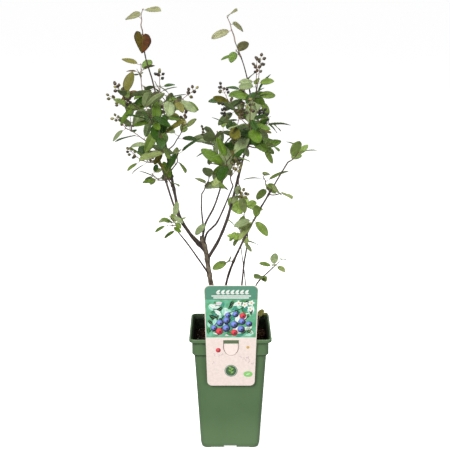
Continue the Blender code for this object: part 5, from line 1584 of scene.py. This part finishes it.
def addSpray(plant, heap, name):
    mass = masses[name]
    rng = random.Random(mass["seed"] + 5)
    stem, root = massStem(mass, limbPaths)
    leaves, sides = planMass(mass, stem)
    tree = meshTree([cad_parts[name]])
    barkName = "leaderStem" if "leader" in name else "twigBark"
    addStem(plant, "spray", [root.lerp(stem[0], 0.3)] + stem, barkName)
    addEndBud(plant, "spray", stem)
    kept = [leaf for leaf in leaves if leafStands(leaf, tree)]
    for twig in sides:
        kept += addSideTwig(plant, rng, twig, tree, barkName)
    if mass["finer"]:
        finerLeaves, sprigs = finerGrowth(mass, stem, plant["solids"], plant["marks"])
        kept += finerLeaves
        for ends, berries in sprigs:
            addCluster(plant, rng, "sprig", ends, berries)
    for leaf in kept:
        addSprayLeaf(plant, heap, rng, leaf, name)


def makeFoliage():
    materials = foliageMaterials()
    print("materials for leaves and fruit ready")
    plant = {"twigs": newHeap(), "berries": newHeap(), "solids": meshTree(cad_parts.values()),
             "centres": [], "marks": []}
    for region, names in regions.items():
        heap = newHeap()
        for name in names:
            addSpray(plant, heap, name)
        piece = buildMesh(region + "Leaves", heap, [materials[slot] for slot in leafSlots])
        place(piece, names)
        print(region, "has", len(piece.data.polygons), "faces")
    twigs = buildMesh("twigsAndBuds", plant["twigs"], [materials[slot] for slot in twigSlots])
    place(twigs, [])
    fruit = buildMesh("berryClusters", plant["berries"], [materials[slot] for slot in berrySlots])
    place(fruit, [])


makeFoliage()
print("leaves, twigs and fruit made")

# plant label: a printed card with its print as thin raised shapes

cardSize = {
    "middleX": 0.001, "bottom": 0.1158, "top": 0.291, "bottomHalf": 0.0384, "topHalf": 0.043, "corner": 0.008,
    "thickness": 0.0006, "lean": math.radians(5.4), "slotTop": 0.1966, "tongueTop": 0.1902,
    "tongueBottom": 0.170, "tongueHalf": 0.0125, "slit": 0.0005, "push": 0.0024, "gap": 0.0003,
    "cornerSteps": 10, "tongueSteps": 26, "inkStep": 0.000015, "printTrim": 0.0012,
    "pictureBottom": 0.2015, "pictureTop": 0.2680, "bandBottom": 0.2668, "cutDepth": 0.0206,
    "hedgeHalf": 0.0375, "hedgeBottom": 0.2030, "hedgeTop": 0.2655, "hedgeLeaves": 150,
}
cardInks = {
    "cardStock": paint(238, 222, 214), "headBand": paint(88, 142, 118), "pictureGreen": paint(122, 194, 164),
    "leafInk": paint(40, 116, 70), "limeInk": paint(136, 186, 84), "fruitInk": paint(100, 114, 178),
    "fruitDark": paint(30, 28, 58), "redInk": paint(196, 56, 66), "petalInk": paint(226, 212, 222),
    "pollenInk": paint(212, 170, 80), "deepInk": paint(70, 104, 72), "pastelInk": paint(140, 206, 116),
    "faintInk": paint(206, 184, 188), "whiteInk": paint(236, 238, 232), "shadeInk": paint(14, 44, 46),
    # the ink along the tongue's cut is painted shadow
    "cutShadowInk": paint(168, 146, 140), "mintInk": paint(172, 226, 210), "tealInk": paint(48, 142, 128),
    "paleInk": paint(232, 242, 238),
}


def startInk(name, colour):
    material, tree, shader, spot = startMaterial(name, colour, 0.34)
    feed(tree, shader, Coat_Weight=0.25, Coat_Roughness=0.2)
    return material, tree, shader, spot


def inkMaterial(name, colour, second=None):
    # a second colour comes through in wide clouds
    material, tree, shader, spot = startInk(name, colour)
    if second:
        mixed = blend(tree, pattern(tree, blotchGroup, spot, Scale=90.0), colour, second)
    else:
        mixed = clouded(tree, pattern(tree, blotchGroup, spot, Scale=260.0), colour, 0.95, 1.06)
    skin = pattern(tree, skinGroup, spot, Scale=3000.0)
    feed(tree, shader, Base_Color=mixed, Normal=bump(tree, skin, 0.00006, 0.3))
    return material


def fruitMaterial(name, colour, dark):
    # a printed fruit, lighter at its upper left and dark at its rim, from its own map
    material, tree, shader, spot = startInk(name, colour)
    away = addNode(tree, "ShaderNodeVectorMath", {"operation": "DISTANCE"})
    feedSocket(tree, away.inputs[0], surfaceMap(tree))
    feedSocket(tree, away.inputs[1], (0.36, 0.64, 0.0))
    rim = ramp(tree, away.outputs["Value"], 0.08, 0.62)
    mask = calc(tree, "MULTIPLY_ADD", pattern(tree, blotchGroup, spot, Scale=700.0), 0.15, rim)
    feed(tree, shader, Base_Color=blend(tree, mask, shade(colour, 2.1), dark))
    return material


def tongueWidth(share, half):
    return half * math.sqrt(max(0.0, 1.0 - share ** 2.6))


def cardPlace(x, z, depth):
    s = cardSize
    share = (s["tongueTop"] - z) / (s["tongueTop"] - s["tongueBottom"])
    push = 0.0
    if 0.0 <= share < 1.0 and abs(x) < tongueWidth(share, s["tongueHalf"]) - s["slit"] / 2:
        push = s["push"] * (1.0 - share)
    back = -potSize["rimHalf"] - s["gap"] - (z - potSize["lipBottom"]) * math.tan(s["lean"])
    return (x + s["middleX"], back - s["thickness"] + depth + push, z)


def prism(heap, loops, front, back, slot, chart=None):
    # a closed flat shape: the first loop is its outline and the others are openings
    flat = [point for loop in loops for point in loop]
    count = len(flat)
    outlines = [[Vector((x, z, 0.0)) for x, z in loop] for loop in loops]
    cells = [tuple(face) for face in tessellate_polygon(outlines)]
    points = [cardPlace(x, z, depth) for depth in (front, back) for x, z in flat]
    a, b, c = (Vector((*flat[i], 0.0)) for i in cells[0])
    if (b - a).cross(c - a).z < 0:
        cells = [cell[::-1] for cell in cells]
    backCells = [tuple(i + count for i in cell[::-1]) for cell in cells]
    walls = []
    first = 0
    for loop in loops:
        for i in range(len(loop)):
            here, after = first + i, first + (i + 1) % len(loop)
            walls.append((here + count, after + count, after, here))
        first += len(loop)
    maps = np.zeros((count, 2))
    if chart is not None:
        middle, size = chart
        maps = (np.array(flat) - middle) / size + 0.5
    addShape(heap, points, [cells + backCells, walls], slot=slot, maps=np.concatenate([maps, maps]))


def cardHalf(z):
    s = cardSize
    return s["bottomHalf"] + (s["topHalf"] - s["bottomHalf"]) * (z - s["bottom"]) / (s["top"] - s["bottom"])


def cardLoop(low, high, trim, roundLow, roundHigh):
    # the card's outline between two heights, with round corners where the card has them
    radius = cardSize["corner"]
    loop = []
    for side, z, first in ((-1, low, 180), (1, low, 270), (1, high, 0), (-1, high, 90)):
        half = cardHalf(z) - trim
        if not (roundLow if z == low else roundHigh):
            loop.append((side * half, z))
            continue
        middleX = side * (half - radius)
        middleZ = z + (radius if z == low else -radius)
        for step in range(cardSize["cornerSteps"] + 1):
            angle = math.radians(first + 90 * step / cardSize["cornerSteps"])
            loop.append((middleX + radius * math.cos(angle), middleZ + radius * math.sin(angle)))
    return loop


def slotLoop():
    s = cardSize
    height = s["tongueTop"] - s["tongueBottom"]
    shares = [math.sin(math.pi / 2 * i / s["tongueSteps"]) * 0.985 for i in range(s["tongueSteps"] + 1)]
    outer = [(tongueWidth(share, s["tongueHalf"]), s["tongueTop"] - height * share) for share in shares]
    inner = [(x - s["slit"], z) for x, z in outer]
    right = [(s["tongueHalf"], s["slotTop"])] + outer + inner[::-1]
    return right + [(-x, z) for x, z in right[::-1]]


def discLoop(x, z, radiusX, radiusZ=None, sides=28):
    radiusZ = radiusX if radiusZ is None else radiusZ
    turns = [2 * math.pi * i / sides for i in range(sides)]
    return [(x + radiusX * math.cos(turn), z + radiusZ * math.sin(turn)) for turn in turns]


def pointAlong(x, z, angle, length, out=0.0):
    cosine, sine = math.cos(angle), math.sin(angle)
    return x + length * cosine - out * sine, z + length * sine + out * cosine


def leafLoop(x, z, angle, length, width):
    # a pointed leaf from its foot
    loop = []
    for i in range(16):
        share = 1 - abs(1 - i / 8)
        out = math.copysign(width / 2, 8 - i) * math.sin(math.pi * share ** 0.85)
        loop.append(pointAlong(x, z, angle, length * share, out))
    return loop[::-1]


def stripeLoop(points, width):
    # a thin line through a few points
    left, right = [], []
    for i, (x, z) in enumerate(points):
        before, after = points[max(i - 1, 0)], points[min(i + 1, len(points) - 1)]
        angle = math.atan2(after[1] - before[1], after[0] - before[0])
        left.append((x - math.sin(angle) * width / 2, z + math.cos(angle) * width / 2))
        right.append((x + math.sin(angle) * width / 2, z - math.cos(angle) * width / 2))
    return right + left[::-1]


def ink(heap, loop, name, level, chart=None):
    prism(heap, [loop], -cardSize["inkStep"] * level, 0.0001, list(cardInks).index(name), chart)


def printHead(heap):
    # the ground of the picture, then a green band with a row of small leaves over two plain lines
    s = cardSize
    trim = s["printTrim"]
    ink(heap, cardLoop(s["pictureBottom"], s["pictureTop"], trim, False, False), "pictureGreen", 1)
    ink(heap, cardLoop(s["bandBottom"], s["top"] - trim, trim, False, True), "headBand", 2)
    for i in range(7):
        for angle, length, width in ((0.75, 0.0086, 0.0040), (-0.1, 0.0066, 0.0032)):
            ink(heap, leafLoop(-0.0235 + 0.0075 * i, 0.2775, angle, length, width), "whiteInk", 3)
    for z, half in ((0.2729, 0.031), (0.2696, 0.028)):
        ink(heap, stripeLoop([(-half, z), (half, z)], 0.0019), "whiteInk", 3)


def printPicture(heap, rng):
    # a hedge of leaves, an arching sprig, blossom at its upper end and fruit below it
    s = cardSize
    hedgeInks = ("leafInk", "mintInk", "shadeInk", "tealInk", "paleInk", "paleInk", "shadeInk", "petalInk",
                 "tealInk")
    for i in range(s["hedgeLeaves"]):
        x, z = rng.uniform(-0.038, 0.038), rng.uniform(0.2030, 0.2660)
        length, angle = rng.uniform(0.008, 0.017), rng.uniform(-3.0, 0.2)
        endX, endZ = pointAlong(x, z, angle, length)
        if max(abs(endX), abs(x)) < s["hedgeHalf"] and s["hedgeBottom"] < endZ < s["hedgeTop"]:
            level = 2 + i % 6
            ink(heap, leafLoop(x, z, angle, length, length * 0.42), rng.choice(hedgeInks), level)
            rib = [(x, z), pointAlong(x, z, angle, length * 0.9)]
            ink(heap, stripeLoop(rib, 0.00035), "limeInk", level + 0.5)
    arch = [(-0.034, 0.2110), (-0.021, 0.2300), (-0.004, 0.2440), (0.013, 0.2500), (0.030, 0.2590)]
    ink(heap, stripeLoop(arch, 0.0013), "shadeInk", 9)
    for x, z in ((0.0215, 0.2580), (0.0300, 0.2510), (0.0120, 0.2600), (0.0320, 0.2610)):
        for i in range(5):
            ink(heap, leafLoop(x, z, 2 * math.pi * i / 5 + x * 40, 0.0054, 0.0038), "whiteInk", 10 + 0.3 * i)
        ink(heap, discLoop(x, z, 0.0013), "pollenInk", 12)
    fruits = [
        (-0.0270, 0.2180, 0.0052), (-0.0050, 0.2400, 0.0047), (-0.0185, 0.2120, 0.0058),
        (-0.0175, 0.2265, 0.0058), (0.0070, 0.2415, 0.0050), (-0.0070, 0.2310, 0.0060),
        (0.0185, 0.2390, 0.0052), (0.0050, 0.2100, 0.0054), (-0.0075, 0.2175, 0.0062),
        (0.0050, 0.2240, 0.0062), (0.0160, 0.2160, 0.0058), (0.0175, 0.2290, 0.0056),
        (0.0285, 0.2250, 0.0050),
    ]
    for i, (x, z, radius) in enumerate(fruits):
        name = "redInk" if i in (2, 6, 7) else "fruitInk"
        level = 13 + 0.6 * i
        ink(heap, discLoop(x, z, radius), name, level, ((x, z), radius * 2))
        for j in range(5):
            angle = 2 * math.pi * j / 5 + i
            ink(heap, leafLoop(x + 0.0009, z - 0.0007, angle, 0.0019, 0.0011), "fruitDark", level + 0.3)


def printLower(heap, rng):
    # a medallion with a sprig, a pastel oval, a red dot, a painted shadow line round the tongue's cut, a dot
    # and faint sprigs
    s = cardSize
    for radius, name, level in ((0.0104, "deepInk", 1), (0.0094, "whiteInk", 1.6), (0.0089, "deepInk", 2.2)):
        ink(heap, discLoop(0.0, 0.1425, radius, sides=40), name, level)
    ink(heap, stripeLoop([(0.0, 0.1360), (0.0005, 0.1425), (0.0, 0.1490)], 0.0007), "limeInk", 3)
    for z, angle in ((0.1385, 0.6), (0.1415, 2.5), (0.1440, 0.7), (0.1465, 2.4)):
        ink(heap, leafLoop(0.0, z, angle, 0.0052, 0.0026), "limeInk", 3.4)
    ink(heap, discLoop(0.0275, 0.1365, 0.0074, 0.0052), "pastelInk", 1)
    ink(heap, leafLoop(0.0240, 0.1355, 0.3, 0.0070, 0.0016), "whiteInk", 2)
    ink(heap, discLoop(-0.0205, 0.1790, 0.0040), "redInk", 1, ((-0.0205, 0.1790), 0.0080))
    # painted shadow: a thin greyish line just outside the tongue's cut, for the shade in the slit
    cut = []
    for i in range(1, 10):
        share = math.sin(0.157 * i)
        cut.append((tongueWidth(share, s["tongueHalf"]) + 0.0004, s["tongueTop"] - s["cutDepth"] * share))
    ink(heap, stripeLoop(cut + [(-x, z) for x, z in cut[::-1]], 0.0005), "cutShadowInk", 1)
    ink(heap, discLoop(0.0270, 0.1840, 0.0024), "pollenInk", 1)
    stem = 0.005
    for i in range(11):
        x = rng.choice((-1, 1)) * rng.uniform(0.017, 0.031)
        z, angle = rng.uniform(0.150, 0.172), rng.uniform(0.3, 2.8)
        ink(heap, stripeLoop([(x, z), pointAlong(x, z, angle, stem)], 0.0003), "faintInk", 1)
        for share, turn in ((0.35, 0.8), (0.7, -0.8), (1.0, 0.8)):
            foot = pointAlong(x, z, angle, stem * share)
            ink(heap, leafLoop(*foot, angle + turn, 0.0022, 0.0010), "faintInk", 1.5)


def makeLabel():
    s = cardSize
    heap = newHeap()
    rng = random.Random(23)
    card = cardLoop(s["bottom"], s["top"], 0.0, True, True)
    prism(heap, [card, slotLoop()], 0.0, s["thickness"], 0)
    printHead(heap)
    printPicture(heap, rng)
    printLower(heap, rng)
    fruitEdges = {"fruitInk": cardInks["fruitDark"], "redInk": shade(cardInks["redInk"], 0.5)}
    materials = []
    for name, colour in cardInks.items():
        if name in fruitEdges:
            materials.append(fruitMaterial(name, colour, fruitEdges[name]))
        else:
            second = paint(84, 160, 110) if name == "pictureGreen" else None
            materials.append(inkMaterial(name, colour, second))
    place(buildMesh("plantLabel", heap, materials, sharpAngle=30), ["plant_label"])


makeLabel()
print("plant label printed")
